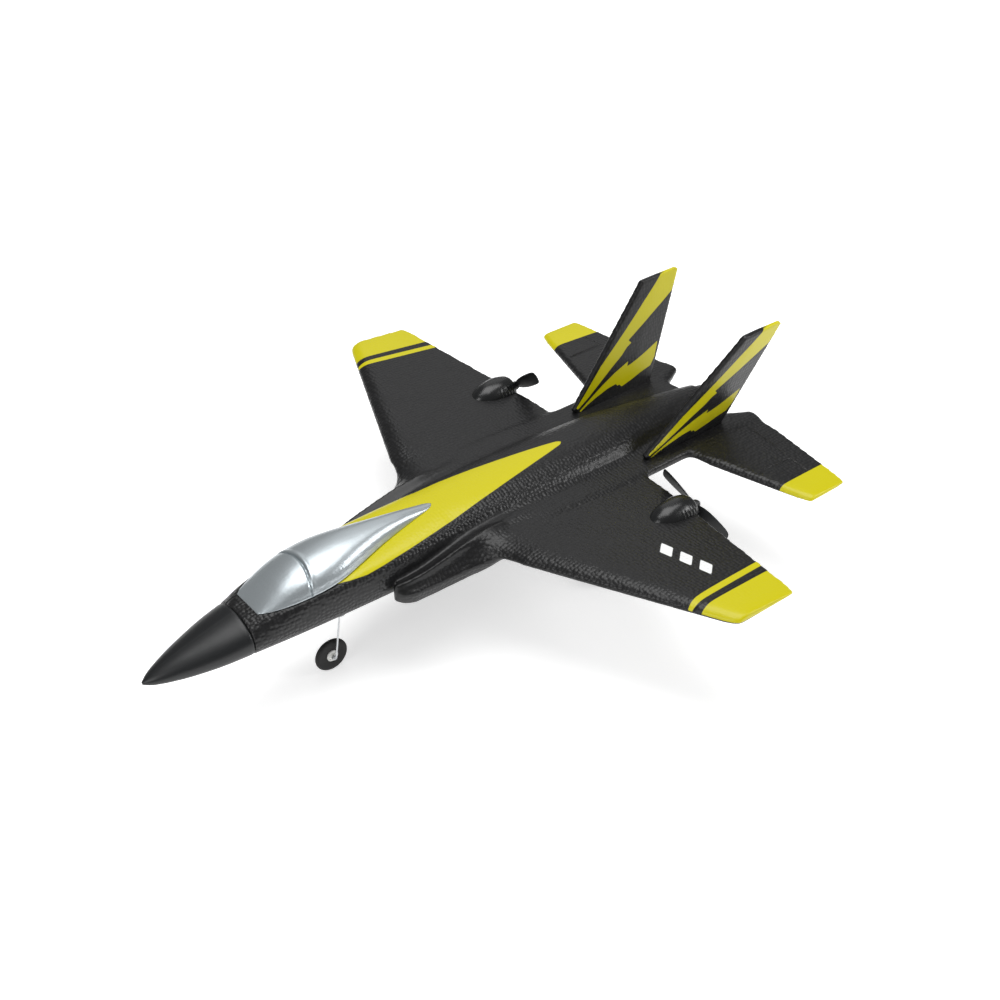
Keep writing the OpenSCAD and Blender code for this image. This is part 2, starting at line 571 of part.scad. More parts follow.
module antenna_wire() color("#8a8c8e") rod([[-7, bay_s + 6, board_z + 1.2],
    [-7, bay_s + 6, loft_top - 1], [-7, bay_end - 8, loft_top - 1]], 0.6);

module power_switch() color(STEEL) difference() {
    block([-switch_half, switch_half], [switch_s, switch_s + switch_len], [box_low, switch_top]);
    block([-1.2, 1.2], [switch_s + 2, switch_s + switch_len - 2], [box_low - 1, box_low + 2.4]);
}
slide_travel = 2;
module switch_slider() color(BLACK)
    block([-1.2 + lid_gap / 2, 1.2 - lid_gap / 2],
        [switch_s + 2 + lid_gap, switch_s + switch_len - 2 - lid_gap - slide_travel],
        [box_low - 1.3, box_low + 2]);
module switch_lead() color(RED) rod(switch_route, lead_d);

module nose_leg_mount() color(CLEAR) difference() {
    union() {
        nose_mount_plate();
        translate([0, nose_leg_s, nose_mount_low]) cylinder(h = BELLY_Z - nose_mount_low, d = 4.6);
    }
    rod([nose_route[0], nose_route[1]], wire_d);
    for (s = [-5.6, 5.6]) translate([0, nose_leg_s + s, BELLY_Z - 2]) cylinder(h = 4, d = 1.5);
}
module nose_leg_wire() color(STEEL) rod(nose_route, wire_d);
module main_leg_mounts() color(CLEAR) mirrored_pair() difference() {
    main_mount_block();
    rod([main_route[0], main_route[1]], wire_d);
}
module main_leg_wires() color(STEEL) mirrored_pair() rod(main_route, wire_d);
module axle_collars() color(STEEL) {
    for (side = [-1, 1]) {
        wheel_at(side * (tyre_x + 0.5), nose_axle_s) collar();
        mirrored_pair() wheel_at(main_wheel_x + side * (tyre_x + 0.5), main_axle_s) collar();
    }
}
module mount_screws() color(STEEL)
    for (s = [-5.6, 5.6]) translate([0, nose_leg_s + s, BELLY_Z - 1.3]) difference() {
        union() {
            cylinder(h = 0.7, d = 2.8);
            cylinder(h = 2.1, d = 1.5);
        }
        translate([-1, -0.2, -0.1]) cube([2, 0.4, 0.4]);
    }

// ---- Assembly -------------------------------------------------------------
module on_port() ship() children();
module on_starboard() ship() mirror([1, 0, 0]) children();

ship() fuselage();
ship() nose_cone();
ship() canopy();
on_port() intake();  // intake_port
on_starboard() intake();  // intake_starboard
on_port() wing_panel();  // wing_port
on_starboard() wing_panel();  // wing_starboard
ship() color(BLACK) mirrored_pair() spar_rod();  // wing_spar
on_port() stab_half();  // stab_port
on_starboard() stab_half();  // stab_starboard
on_port() color(FOAM) fin_blank();  // fin_port
on_starboard() color(FOAM) fin_blank();  // fin_starboard
ship() exhaust_nozzle();
on_port() motor_pod();  // motor_pod_port
on_starboard() motor_pod();  // motor_pod_starboard
on_port() motor_can();  // motor_can_port
on_starboard() motor_can();  // motor_can_starboard
on_port() motor_shaft();  // motor_shaft_port
on_starboard() motor_shaft();  // motor_shaft_starboard
on_port() propeller(18);  // propeller_port
on_starboard() propeller(38);  // propeller_starboard
on_port() motor_lead();  // motor_lead_port
on_starboard() motor_lead();  // motor_lead_starboard
ship() battery_box();
ship() battery_lid();
ship() lid_pin();
ship() battery_cell();
ship() cell_pad();
ship() battery_lead();
ship() battery_plug();
ship() receiver_board();
ship() board_chips();
ship() plug_socket();
ship() antenna_wire();
ship() power_switch();
ship() switch_slider();
ship() switch_lead();
ship() nose_leg_mount();
ship() nose_leg_wire();
ship() wheel_at(0, nose_axle_s) tyre();  // nose_tyre
ship() wheel_at(0, nose_axle_s) hub();  // nose_hub
ship() main_leg_mounts();
ship() main_leg_wires();
on_port() wheel_at(main_wheel_x, main_axle_s) tyre();  // tyre_port
on_starboard() wheel_at(main_wheel_x, main_axle_s) tyre();  // tyre_starboard
on_port() wheel_at(main_wheel_x, main_axle_s) hub();  // hub_port
on_starboard() wheel_at(main_wheel_x, main_axle_s) hub();  // hub_starboard
ship() axle_collars();
ship() mount_screws();
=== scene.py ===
import math

import bmesh
import bpy
import numpy as np
from bpy.props import FloatProperty, FloatVectorProperty, IntProperty, PointerProperty
from mathutils import Matrix, Vector

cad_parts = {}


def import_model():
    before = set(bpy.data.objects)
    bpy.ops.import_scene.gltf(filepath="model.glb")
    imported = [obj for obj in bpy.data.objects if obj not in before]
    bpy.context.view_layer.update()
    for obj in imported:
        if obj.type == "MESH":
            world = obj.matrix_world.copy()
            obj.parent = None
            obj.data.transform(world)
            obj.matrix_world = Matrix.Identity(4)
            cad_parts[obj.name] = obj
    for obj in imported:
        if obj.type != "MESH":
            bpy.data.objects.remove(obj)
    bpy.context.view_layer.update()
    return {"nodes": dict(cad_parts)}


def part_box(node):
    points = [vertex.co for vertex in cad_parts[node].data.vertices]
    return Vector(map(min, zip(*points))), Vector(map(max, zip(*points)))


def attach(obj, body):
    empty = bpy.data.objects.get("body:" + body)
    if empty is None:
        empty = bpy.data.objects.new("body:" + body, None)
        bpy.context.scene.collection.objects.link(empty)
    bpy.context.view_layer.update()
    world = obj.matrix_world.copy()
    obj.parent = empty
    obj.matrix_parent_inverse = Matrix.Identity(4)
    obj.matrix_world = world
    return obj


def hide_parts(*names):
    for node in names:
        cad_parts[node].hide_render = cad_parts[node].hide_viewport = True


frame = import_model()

bl_info = {
    "name": "Foam jet glider",
    "version": (1, 0, 0),
    "blender": (4, 5, 0),
    "location": "3D View > Sidebar > Foam jet",
    "description": "Builds the foam jet glider piece by piece round its CAD frame",
    "category": "Object",
}

MM = 0.001
NODES = frame["nodes"]
SIDES = ((1, "port"), (-1, "starboard"))
# Model coordinates in this file are millimetres: x to the port side, s behind
# the tip of the nose, z above the underside of the wing root.
NOSE_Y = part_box("nose_cone")[0][1] / MM
DATUM_Z = 56.0


# ---------------------------------------------------------------- helpers
def linear(code):
    """sRGB hex code to linear red, green and blue."""
    parts = [int(code[i:i + 2], 16) / 255 for i in (1, 3, 5)]
    return [c / 12.92 if c <= 0.04045 else ((c + 0.055) / 1.055) ** 2.4 for c in parts]


def world(points):
    """Model millimetres to frame metres."""
    p = np.asarray(points, float).reshape(-1, 3)
    return np.column_stack([p[:, 0], p[:, 1] + NOSE_Y, p[:, 2] + DATUM_Z]) * MM


def model(points):
    """Frame metres to model millimetres."""
    p = np.asarray(points, float) / MM
    return p[:, 0], p[:, 1] - NOSE_Y, p[:, 2] - DATUM_Z


def curve(t, keys):
    """A smooth line through a short table of (position, value)."""
    x = [k[0] for k in keys]
    y = [k[1] for k in keys]
    i = min(max(int(np.searchsorted(x, t)) - 1, 0), len(x) - 2)

    def slope(j):
        a, b = max(j - 1, 0), min(j + 1, len(x) - 1)
        return (y[b] - y[a]) / (x[b] - x[a])
    h = x[i + 1] - x[i]
    u = min(max((t - x[i]) / h, 0), 1)
    return ((2 * u ** 3 - 3 * u ** 2 + 1) * y[i] + (u ** 3 - 2 * u ** 2 + u) * slope(i) * h
            + (3 * u ** 2 - 2 * u ** 3) * y[i + 1] + (u ** 3 - u ** 2) * slope(i + 1) * h)


def line(t, keys):
    """Straight steps through a table of (position, value)."""
    return np.interp(t, [k[0] for k in keys], [k[1] for k in keys])


def loft(rings):
    """Points and faces of a skin through rings of equal length."""
    n = len(rings[0])
    points = [p for ring in rings for p in ring]
    faces = []
    for r in range(len(rings) - 1):
        for i in range(n):
            j = (i + 1) % n
            faces.append((r * n + i, r * n + j, (r + 1) * n + j, (r + 1) * n + i))
    faces.append(tuple(range(n - 1, -1, -1)))
    faces.append(tuple(range((len(rings) - 1) * n, len(rings) * n)))
    return points, faces


def mirrored(part):
    """The same skin on the starboard side."""
    points, faces = part
    return [(-x, s, z) for x, s, z in points], [f[::-1] for f in faces]


def lathe(profile, steps, centre, axis):
    """A skin turned round an axis through centre: profile is (along, radius)."""
    rings = []
    for along, radius in profile:
        ring = []
        for i in range(steps):
            a = 2 * math.pi * i / steps
            c, d = radius * math.cos(a), radius * math.sin(a)
            offset = {"x": (along, c, d), "y": (d, along, c), "z": (c, d, along)}[axis]
            ring.append(tuple(centre[k] + offset[k] for k in range(3)))
        rings.append(ring)
    return loft(rings)


def make(name, parts, smooth=True):
    """One mesh object from skins in model millimetres."""
    points, faces = [], []
    for part in parts:
        base = len(points)
        points += list(part[0])
        faces += [tuple(i + base for i in f) for f in part[1]]
    mesh = bpy.data.meshes.new(name)
    mesh.from_pydata(world(points).tolist(), [], faces)
    mesh.validate()
    obj = bpy.data.objects.new(name, mesh)
    bpy.context.scene.collection.objects.link(obj)
    outward(mesh)
    mesh.polygons.foreach_set("use_smooth", [smooth] * len(mesh.polygons))
    return obj


def outward(mesh):
    """Turns every face to look out of its own shell."""
    bm = bmesh.new()
    bm.from_mesh(mesh)
    bmesh.ops.recalc_face_normals(bm, faces=bm.faces)
    bm.to_mesh(mesh)
    bm.free()


def settle(obj):
    """Makes the object's modifiers part of its mesh."""
    graph = bpy.context.evaluated_depsgraph_get()
    mesh = bpy.data.meshes.new_from_object(obj.evaluated_get(graph))
    obj.modifiers.clear()
    obj.data = mesh


def fuse(obj, cell_mm):
    """Joins overlapping closed skins into one, with cells of that size."""
    mod = obj.modifiers.new("fuse", "REMESH")
    mod.mode = "VOXEL"
    mod.voxel_size = cell_mm * MM
    mod.use_smooth_shade = True
    settle(obj)
    return obj


def points_of(obj):
    """Where the points of a mesh are, in frame metres."""
    co = np.empty(len(obj.data.vertices) * 3)
    obj.data.vertices.foreach_get("co", co)
    return co.reshape(-1, 3)


def relax(obj, rounds, weight=None):
    """Softens a skin, more where weight is near 1."""
    mesh = obj.data
    co = points_of(obj)
    edges = np.empty(len(mesh.edges) * 2, np.int64)
    mesh.edges.foreach_get("vertices", edges)
    a, b = edges.reshape(-1, 2).T
    n = len(co)
    count = np.bincount(a, minlength=n) + np.bincount(b, minlength=n)
    w = (np.ones(n) if weight is None else weight) * 0.5
    for _ in range(rounds):
        mean = np.empty_like(co)
        for k in range(3):
            mean[:, k] = (np.bincount(a, co[b, k], n) + np.bincount(b, co[a, k], n)) / count
        co += (mean - co) * w[:, None]
    mesh.vertices.foreach_set("co", co.ravel())
    mesh.update()


def near(px, py, route):
    """Distance from a broken line."""
    best = np.full(len(px), 1e9)
    for (x0, y0), (x1, y1) in zip(route[:-1], route[1:]):
        dx, dy = x1 - x0, y1 - y0
        t = np.clip(((px - x0) * dx + (py - y0) * dy) / (dx * dx + dy * dy + 1e-12), 0, 1)
        best = np.minimum(best, np.hypot(px - x0 - t * dx, py - y0 - t * dy))
    return best


def inside(px, py, outline):
    """Distance in from the edge of an outline, negative outside it."""
    closed = list(outline) + [outline[0]]
    odd = np.zeros(len(px), bool)
    for (x0, y0), (x1, y1) in zip(closed[:-1], closed[1:]):
        if y0 != y1:
            crosses = (y0 > py) != (y1 > py)
            odd ^= crosses & (px < (py - y0) * (x1 - x0) / (y1 - y0) + x0)
    best = near(px, py, closed)
    return np.where(odd, best, -best)


def mark(obj, name, values):
    """Keeps one number per point of the mesh for its material."""
    layer = obj.data.attributes.new(name, "FLOAT", "POINT")
    layer.data.foreach_set("value", np.asarray(values, np.float32))


def tube(name, route, diameter, body, slot, material, bend=2.0, sides=12):
    """A round wire with rounded bends along model points."""
    pts = [Vector(p) for p in world(route)]
    path = [pts[0]]
    for i in range(1, len(pts) - 1):
        into, out = (pts[i - 1] - pts[i]), (pts[i + 1] - pts[i])
        reach = min(bend * MM, into.length * 0.45, out.length * 0.45)
        a, b = pts[i] + into.normalized() * reach, pts[i] + out.normalized() * reach
        for k in range(7):
            t = k / 6
            path.append(a * (1 - t) ** 2 + pts[i] * 2 * t * (1 - t) + b * t ** 2)
    path.append(pts[-1])
    rings = []
    side = (path[1] - path[0]).orthogonal().normalized()
    for i, p in enumerate(path):
        way = (path[min(i + 1, len(path) - 1)] - path[max(i - 1, 0)]).normalized()
        side = (side - way * side.dot(way)).normalized()
        up = way.cross(side)
        ring = []
        for k in range(sides):
            a = 2 * math.pi * k / sides
            q = p + (side * math.cos(a) + up * math.sin(a)) * diameter * MM / 2
            ring.append((q.x / MM, q.y / MM - NOSE_Y, q.z / MM - DATUM_Z))
        rings.append(ring)
    obj = make(name, [loft(rings)])
    return finish_piece(obj, body, slot, material)


def finish_piece(obj, body, slot, material, *stands_for):
    """Gives a piece its material, its body and what it stands for."""
    obj.data.materials.clear()
    obj.data.materials.append(material)
    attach(obj, body)
    if stands_for:
        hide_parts(*stands_for)
    return obj


def rounded_box(name, low, high, radius, body, slot, material, *stands_for):
    """A box with rounded edges between two model corners."""
    (x0, s0, z0), (x1, s1, z1) = low, high
    ring = [(x0, z0), (x1, z0), (x1, z1), (x0, z1)]
    obj = make(name, [loft([[(x, s, z) for x, z in ring] for s in (s0, s1)])], smooth=False)
    soften(obj, radius)
    return finish_piece(obj, body, slot, material, *stands_for)


def soften(obj, radius):
    """Rounds the edges of a mesh and shades it by angle."""
    mod = obj.modifiers.new("round", "BEVEL")
    mod.width = radius * MM
    mod.segments = 3
    mod.limit_method = "ANGLE"
    mod.angle_limit = math.radians(30)
    settle(obj)
    for p in obj.data.polygons:
        p.use_smooth = True
    obj.data.set_sharp_from_angle(angle=math.radians(40))


# ---------------------------------------------------------------- materials
def add(tree, kind, links=None, **settings):
    """Adds a node with its settings, and its inputs as numbers or links."""
    node = tree.nodes.new(kind)
    for key, value in settings.items():
        setattr(node, key, value)
    for key, value in (links or {}).items():
        socket = node.inputs[key]
        if isinstance(value, bpy.types.NodeSocket):
            tree.links.new(value, socket)
        else:
            socket.default_value = value
    return node


def fresh(name):
    """A new material with its surface shader."""
    material = bpy.data.materials.new(name)
    material.use_nodes = True
    shader = material.node_tree.nodes["Principled BSDF"]
    return material, material.node_tree, shader


def rgba(colour, shade=1.0):
    """A colour for a socket, darker or lighter by shade."""
    return tuple(min(c * shade, 1) for c in colour) + (1.0,)


def per_mm(size):
    """The texture scale that gives features of that size."""
    return 1 / (size * MM)


def pebble(tree, cell_mm, depth_mm, strength):
    """The skin of fused foam beads: domed cells with creases between them, in
    rows that wander, as deep as the mesh's relief says. Grooves are cut in."""
    where = add(tree, "ShaderNodeTexCoord").outputs["Object"]
    # the rows of beads bend a little over every 8 mm
    wander = add(tree, "ShaderNodeTexNoise", {"Vector": where, "Scale": per_mm(8.3333),
                                              "Detail": 1.0})
    shift = add(tree, "ShaderNodeVectorMath", {0: wander.outputs["Color"], 1: (0.5, 0.5, 0.5)},
                operation="SUBTRACT")
    shift = add(tree, "ShaderNodeVectorMath", {0: shift.outputs[0], "Scale": 1.4 * MM},
                operation="SCALE")
    bent = add(tree, "ShaderNodeVectorMath", {0: where, 1: shift.outputs[0]}, operation="ADD")
    cells = add(tree, "ShaderNodeTexVoronoi",
                {"Vector": bent.outputs[0], "Scale": per_mm(cell_mm), "Randomness": 0.5,
                 "Smoothness": 0.35}, feature="SMOOTH_F1")
    dome = add(tree, "ShaderNodeMapRange",
               {"Value": cells.outputs["Distance"], "From Min": 0.75, "From Max": 0.1})
    # broad unevenness of the whole skin, about 14 mm wide
    wave = add(tree, "ShaderNodeTexNoise", {"Vector": where, "Scale": per_mm(14.2857),
                                            "Detail": 2.0})
    rough = add(tree, "ShaderNodeMath", {0: wave.outputs["Fac"], 1: 0.35, 2: dome.outputs[0]},
                operation="MULTIPLY_ADD")
    relief = add(tree, "ShaderNodeAttribute", attribute_name="relief").outputs["Fac"]
    tall = add(tree, "ShaderNodeMath", {0: rough.outputs[0], 1: relief}, operation="MULTIPLY")
    cut = add(tree, "ShaderNodeMath", {0: edge_mask(tree, "groove_and_shade_mm", 0.4), 1: -1.6,
                                       2: tall.outputs[0]}, operation="MULTIPLY_ADD")
    bump = add(tree, "ShaderNodeBump", {"Strength": strength, "Distance": depth_mm * MM,
                                        "Height": cut.outputs[0]})
    return bump.outputs[0], dome.outputs[0], where


def edge_mask(tree, name, soft_mm=0.12):
    """1 inside a marking that the mesh carries, 0 outside it."""
    value = add(tree, "ShaderNodeAttribute", attribute_name=name).outputs["Fac"]
    return add(tree, "ShaderNodeMapRange", {"Value": value, "From Min": -soft_mm,
                                            "From Max": soft_mm}).outputs[0]


def blend(tree, mask, low, high):
    """One colour where the mask is 0, the other where it is 1."""
    node = add(tree, "ShaderNodeMix", data_type="RGBA")
    for socket, value in ((node.inputs[0], mask), (node.inputs[6], low), (node.inputs[7], high)):
        if isinstance(value, bpy.types.NodeSocket):
            tree.links.new(value, socket)
        else:
            socket.default_value = value
    return node.outputs[2]


def printed_foam(look):
    """Expanded polypropylene bead foam, steam moulded in black: a pebbled,
    faintly glossy skin. Sprayed yellow and white markings lie over it."""
    material, tree, shader = fresh("moulded_bead_foam_black")
    bump, dome, _ = pebble(tree, look.bead_mm, 0.45, look.bead_relief)
    # painted shade: the creases between the beads are darker than their tops
    base = blend(tree, dome, rgba(look.black, 0.45), rgba(look.black))
    base = blend(tree, edge_mask(tree, "yellow_mm"), base, rgba(look.yellow))
    base = blend(tree, edge_mask(tree, "white_mm"), base, rgba(linear("#f1f3f2")))
    # painted shade: the moulded grooves are darkened to near black
    base = blend(tree, edge_mask(tree, "groove_and_shade_mm"), base, rgba(linear("#0b0b0c")))
    tree.links.new(base, shader.inputs["Base Color"])
    shader.inputs["Roughness"].default_value = 0.34
    shader.inputs["Specular IOR Level"].default_value = 0.36
    tree.links.new(bump, shader.inputs["Normal"])
    return material


def silver_foam(look):
    """The same bead foam sprayed with aluminium paint: bright, softly
    metallic, with the beads showing through as small facets."""
    material, tree, shader = fresh("aluminium_paint_on_bead_foam")
    bump, _, where = pebble(tree, look.bead_mm, 0.3, look.bead_relief * 0.75)
    # aluminium flakes, drawn as coarse as 0.4 mm so that they still show
    fleck = add(tree, "ShaderNodeTexNoise", {"Vector": where, "Scale": per_mm(0.384615),
                                             "Detail": 1.0})
    tone = blend(tree, fleck.outputs["Fac"], rgba(look.silver, 0.8), rgba(look.silver))
    # painted shade: the windscreen frame's groove is darkened to a grey
    tone = blend(tree, edge_mask(tree, "groove_and_shade_mm", 0.35), tone, rgba(linear("#8d979c")))
    tree.links.new(tone, shader.inputs["Base Color"])
    shader.inputs["Metallic"].default_value = 0.75
    shader.inputs["Roughness"].default_value = 0.33
    tree.links.new(bump, shader.inputs["Normal"])
    return material


def moulded(name, code, roughness, grain_mm=0.6, relief=0.12, depth_mm=0.05):
    """A moulded plastic or rubber: one colour, with a fine mould grain in its
    gloss and a trace of unevenness in its surface."""
    material, tree, shader = fresh(name)
    where = add(tree, "ShaderNodeTexCoord").outputs["Object"]
    grain = add(tree, "ShaderNodeTexNoise", {"Vector": where, "Scale": per_mm(grain_mm),
                                             "Detail": 3.0})
    colour = linear(code)
    tone = blend(tree, grain.outputs["Fac"], rgba(colour, 0.86), rgba(colour, 1.12))
    gloss = add(tree, "ShaderNodeMapRange", {"Value": grain.outputs["Fac"],
                                             "To Min": roughness - 0.05,
                                             "To Max": roughness + 0.05})
    bump = add(tree, "ShaderNodeBump", {"Strength": relief, "Distance": depth_mm * MM,
                                        "Height": grain.outputs["Fac"]})
    tree.links.new(tone, shader.inputs["Base Color"])
    tree.links.new(gloss.outputs[0], shader.inputs["Roughness"])
    tree.links.new(bump.outputs[0], shader.inputs["Normal"])
    return material


def drawn_steel(name, code, roughness):
    """Drawn or turned steel: metallic, with fine lines left by the die."""
    material, tree, shader = fresh(name)
    where = add(tree, "ShaderNodeTexCoord").outputs["Object"]
    lines = add(tree, "ShaderNodeTexNoise", {"Vector": where, "Scale": per_mm(0.25),
                                             "Detail": 2.0})
    colour = linear(code)
    tone = blend(tree, lines.outputs["Fac"], rgba(colour, 0.85), rgba(colour))
    gloss = add(tree, "ShaderNodeMapRange", {"Value": lines.outputs["Fac"],
                                             "To Min": roughness - 0.08,
                                             "To Max": roughness + 0.08})
    tree.links.new(tone, shader.inputs["Base Color"])
    tree.links.new(gloss.outputs[0], shader.inputs["Roughness"])
    shader.inputs["Metallic"].default_value = 1.0
    return material


def clear_polystyrene():
    """Clear moulded polystyrene: mostly see-through, with a faint grey edge."""
    material = moulded("clear_moulded_polystyrene", "#dfe6e8", 0.12, relief=0.05)
    shader = material.node_tree.nodes["Principled BSDF"]
    shader.inputs["Transmission Weight"].default_value = 0.8
    shader.inputs["IOR"].default_value = 1.5
    return material


MATERIALS = {}
# Moulded materials: name, colour, roughness, grain in mm, relief and its depth in mm
MOULDED = {
    # smooth satin skin of the nose, hardly grained
    "nose": ("smooth_moulded_nose_skin", "#111315", 0.4, 1.2, 0.1, 0.06),
    # glossy pods with sharp highlights on their ribs
    "pod": ("glossy_moulded_abs_black", "#161718", 0.27, 0.8, 0.06),
    # satin propellers and switch slider
    "nylon": ("moulded_nylon_black", "#1a1b1c", 0.42, 0.8, 0.1),
    # finely eroded mould texture of the battery box
    "box": ("textured_moulded_abs_black", "#1d1e20", 0.5, 0.35, 0.35, 0.06),
    # dull, open tyres
    "rubber": ("matte_foam_rubber_tyre", "#191919", 0.72, 0.35, 0.4, 0.06),
    "hub": ("moulded_white_nylon", "#e9e9e6", 0.4),
    "carbon": ("pultruded_carbon_rod", "#1b1c1e", 0.38, 0.3, 0.2),
    "board": ("green_solder_mask", "#175a33", 0.35, 0.9, 0.1),
    "chip": ("black_epoxy_chip", "#17181a", 0.45, 0.4),
    "plug": ("white_nylon_plug", "#ded9c8", 0.45),
    "lead": ("red_silicone_lead", "#a3241c", 0.5),
    "aerial": ("grey_aerial_wire", "#8d8f90", 0.5),
    # tight film with a wrinkled gloss
    "cell": ("blue_shrink_wrap", "#24427c", 0.25, 2.5, 0.3, 0.12),
    # hook tape with no gloss at all
    "pad": ("woven_hook_pad", "#1a1a1a", 0.95, 0.5, 0.9, 0.3),
}


def build_materials(look):
    MATERIALS["foam"] = printed_foam(look)
    MATERIALS["silver"] = silver_foam(look)
    for key, values in MOULDED.items():
        MATERIALS[key] = moulded(*values)
    MATERIALS["steel"] = drawn_steel("drawn_spring_steel", "#c9cbcd", 0.28)
    MATERIALS["can"] = drawn_steel("plated_motor_can", "#bfc1c4", 0.22)
    MATERIALS["clear"] = clear_polystyrene()


def paint(node, key):
    """Gives a CAD part that is kept its material."""
    obj = NODES[node]
    obj.data.materials.clear()
    obj.data.materials.append(MATERIALS[key])
    for slot in obj.material_slots:
        slot.material = MATERIALS[key]


KEPT = {
    "wing_spar": "carbon", "motor_can_port": "can", "motor_can_starboard": "can",
    "motor_shaft_port": "steel", "motor_shaft_starboard": "steel", "motor_lead_port": "lead",
    "motor_lead_starboard": "lead", "lid_pin": "steel", "battery_lead": "lead",
    "battery_plug": "plug", "receiver_board": "board", "board_chips": "chip",
    "plug_socket": "plug", "antenna_wire": "aerial", "power_switch": "steel",
    "switch_lead": "lead", "mount_screws": "steel", "axle_collars": "steel",
    "cell_pad": "pad", "exhaust_nozzle": "box", "battery_box": "box", "battery_lid": "box",
    "switch_slider": "nylon",
}


# ---------------------------------------------------------------- shapes
# The nose seam, the canopy's two ends and the end of the body, behind the tip
SEAM_S, CANOPY_S, CANOPY_END, BODY_END = 47, 53.5, 154, 331
SILL_S, SILL_Z, SILL_RISE, BELLY_Z = 53.0, 5.0, 0.0822, -16.0
# Half width, top, spine, bottom and widest height of the body; half width of
# the canopy's seat and the canopy's crown; how square its frames are
WIDTHS = [(0, 0.7), (3, 3.1), (7, 5.2), (14, 8), (21, 10.4), (34, 13.9), (47, 16), (60, 17.6),
          (75, 18.9), (92, 20), (115, 20.9), (154, 21.5), (200, 22), (240, 21.6), (270, 20),
          (300, 16), (331, 9.4)]
TOPS = [(0, -10.2), (3, -8.4), (7, -6.6), (14, -4), (21, -1.9), (34, 1.5), (47, 4.5)]
SPINE = [(154, 13.3), (168, 14.1), (200, 14.5), (234, 14.5), (262, 13.8), (290, 12.1),
         (312, 10.4), (331, 8.8)]
BOTTOMS = [(0, -11.5), (3, -12.7), (7, -13.5), (14, -14.4), (21, -14.9), (34, -15.5),
           (47, -15.8), (60, BELLY_Z), (80, BELLY_Z), (240, BELLY_Z), (262, -15), (300, -11),
           (331, -8)]
MIDDLES = [(0, -10.9), (21, -8.6), (47, -5.5), (75, -4), (115, -2.6), (154, -2), (200, 0),
           (331, 0)]
SILLS = [(53.5, 8.2), (57, 10.6), (65, 13.6), (75, 15.6), (85, 16.3), (94, 15.6), (104, 13.1),
         (112, 10.8), (122, 8), (135, 5.2), (144, 3.6), (150, 2.5), (153, 1.3), (154, 0.3)]
CROWNS = [(53.5, 5.3), (57, 7.6), (62, 10.6), (68, 13.6), (75, 16), (85, 17.7), (95, 18.6),
          (105, 18.9), (120, 18.2), (135, 16.6), (154, 13.5)]
UPPER_POWER = [(0, 2), (47, 2), (75, 2.3), (115, 2.9), (160, 2.6), (331, 2.1)]
LOWER_POWER = [(0, 2), (47, 2), (75, 2.2), (115, 2.5), (240, 2.6), (331, 2.1)]
# How sharply the lower edge of the body is chamfered, along its length
CHINE = [(0, 0), (48, 0), (62, 0.8), (80, 1), (235, 1), (290, 0.4), (331, 0)]
DECK = [(0, 4.6), (6, 6.2), (16, 7), (32, 7.1), (60, 6.3), (85, 4.9), (102, 4.6), (130, 4.8),
        (160, 4.5), (182, 3.6)]
# Wing: its front at the root, the root's and tip's half span, the root's rear
# edge, the tip's chord and the sweep; the shelf's end and its length
WING_S, ROOT_HALF, TIP_X = 160.0, 36.0, 147.5
PANEL_TE, TIP_CHORD, SWEEP = 260.5, 36.5, math.tan(math.radians(23))
SHELF_END = 342.5


def sill_z(s):
    return SILL_Z + SILL_RISE * (s - SILL_S)


def top_z(s):
    if s <= SEAM_S:
        return curve(s, TOPS)
    return sill_z(s) if s <= CANOPY_END else curve(s, SPINE)


def sill_half(s):
    if s <= SEAM_S or s > CANOPY_END:
        return 0.0
    if s < CANOPY_S:
        return SILLS[0][1] * (s - SEAM_S) / (CANOPY_S - SEAM_S)
    return curve(s, SILLS)


def body_ring(s, steps=18):
    """One frame of the body, with its flat seat under the canopy and its
    chamfered lower edge."""
    w, t, b, m = curve(s, WIDTHS), top_z(s), curve(s, BOTTOMS), curve(s, MIDDLES)
    c, pu, pl = sill_half(s), 2 / curve(s, UPPER_POWER), 2 / curve(s, LOWER_POWER)
    chine = curve(s, CHINE)
    cut_x = [0, 0.3 * w, 0.5 * w, 0.72 * w, 0.93 * w, 0.985 * w, w]
    cut_z = [b, b, b + 0.25, b + 3.1, b + 7.2, b + 9.6, m]
    half = [(0, t), (c * 0.5, t)]
    for i in range(steps):
        a = math.pi / 2 * i / steps
        if i:
            half.append((c + (w - c) * math.sin(a) ** pu, m + (t - m) * math.cos(a) ** pu))
        else:
            half.append((max(c, w * math.sin(0.06) ** pu), t - (0 if c else 0.01)))
    for i in range(steps + 1):
        a = math.pi / 2 * (1 - i / steps)
        x, z = w * math.sin(a) ** pl, m - (m - b) * math.cos(a) ** pl
        if chine and 0 < i < steps:
            z += (np.interp(x, cut_x, cut_z) - z) * chine
        half.append((x, z))
    left = [(-x, z) for x, z in half[-2:0:-1]]
    return [(x, s, z) for x, z in half + left]


def body_skin(first, last, step):
    return loft([body_ring(s) for s in np.append(np.arange(first, last, step), last)])


def deck_z(s):
    return curve((s - WING_S) * DECK[-1][0] / (SHELF_END - WING_S), DECK)


def deck_skin():
    """The flat centre of the wing and the shelf between the tailplanes, with
    a notch each side of the exhaust."""
    rings = []
    stations = list(np.arange(WING_S, 328, 3)) + [328.0]
    across = np.linspace(-1, 1, 37)
    for s in stations:
        ring = [(u * ROOT_HALF, s, shoulder(u * ROOT_HALF, s)) for u in across]
        ring += [(ROOT_HALF, s, 0), (-ROOT_HALF, s, 0)]
        rings.append(ring)
    skins = [loft(rings)]
    corner = []
    for s, x0 in ((327.0, 12.0), (328.5, 19.6), (333, 22.2), (338, 25), (SHELF_END, 27.6)):
        corner.append([(x0, s, 0), (x0, s, deck_z(s)), (ROOT_HALF, s, deck_z(s)),
                       (ROOT_HALF, s, 0)])
    skins += [loft(corner), mirrored(loft(corner))]
    return skins


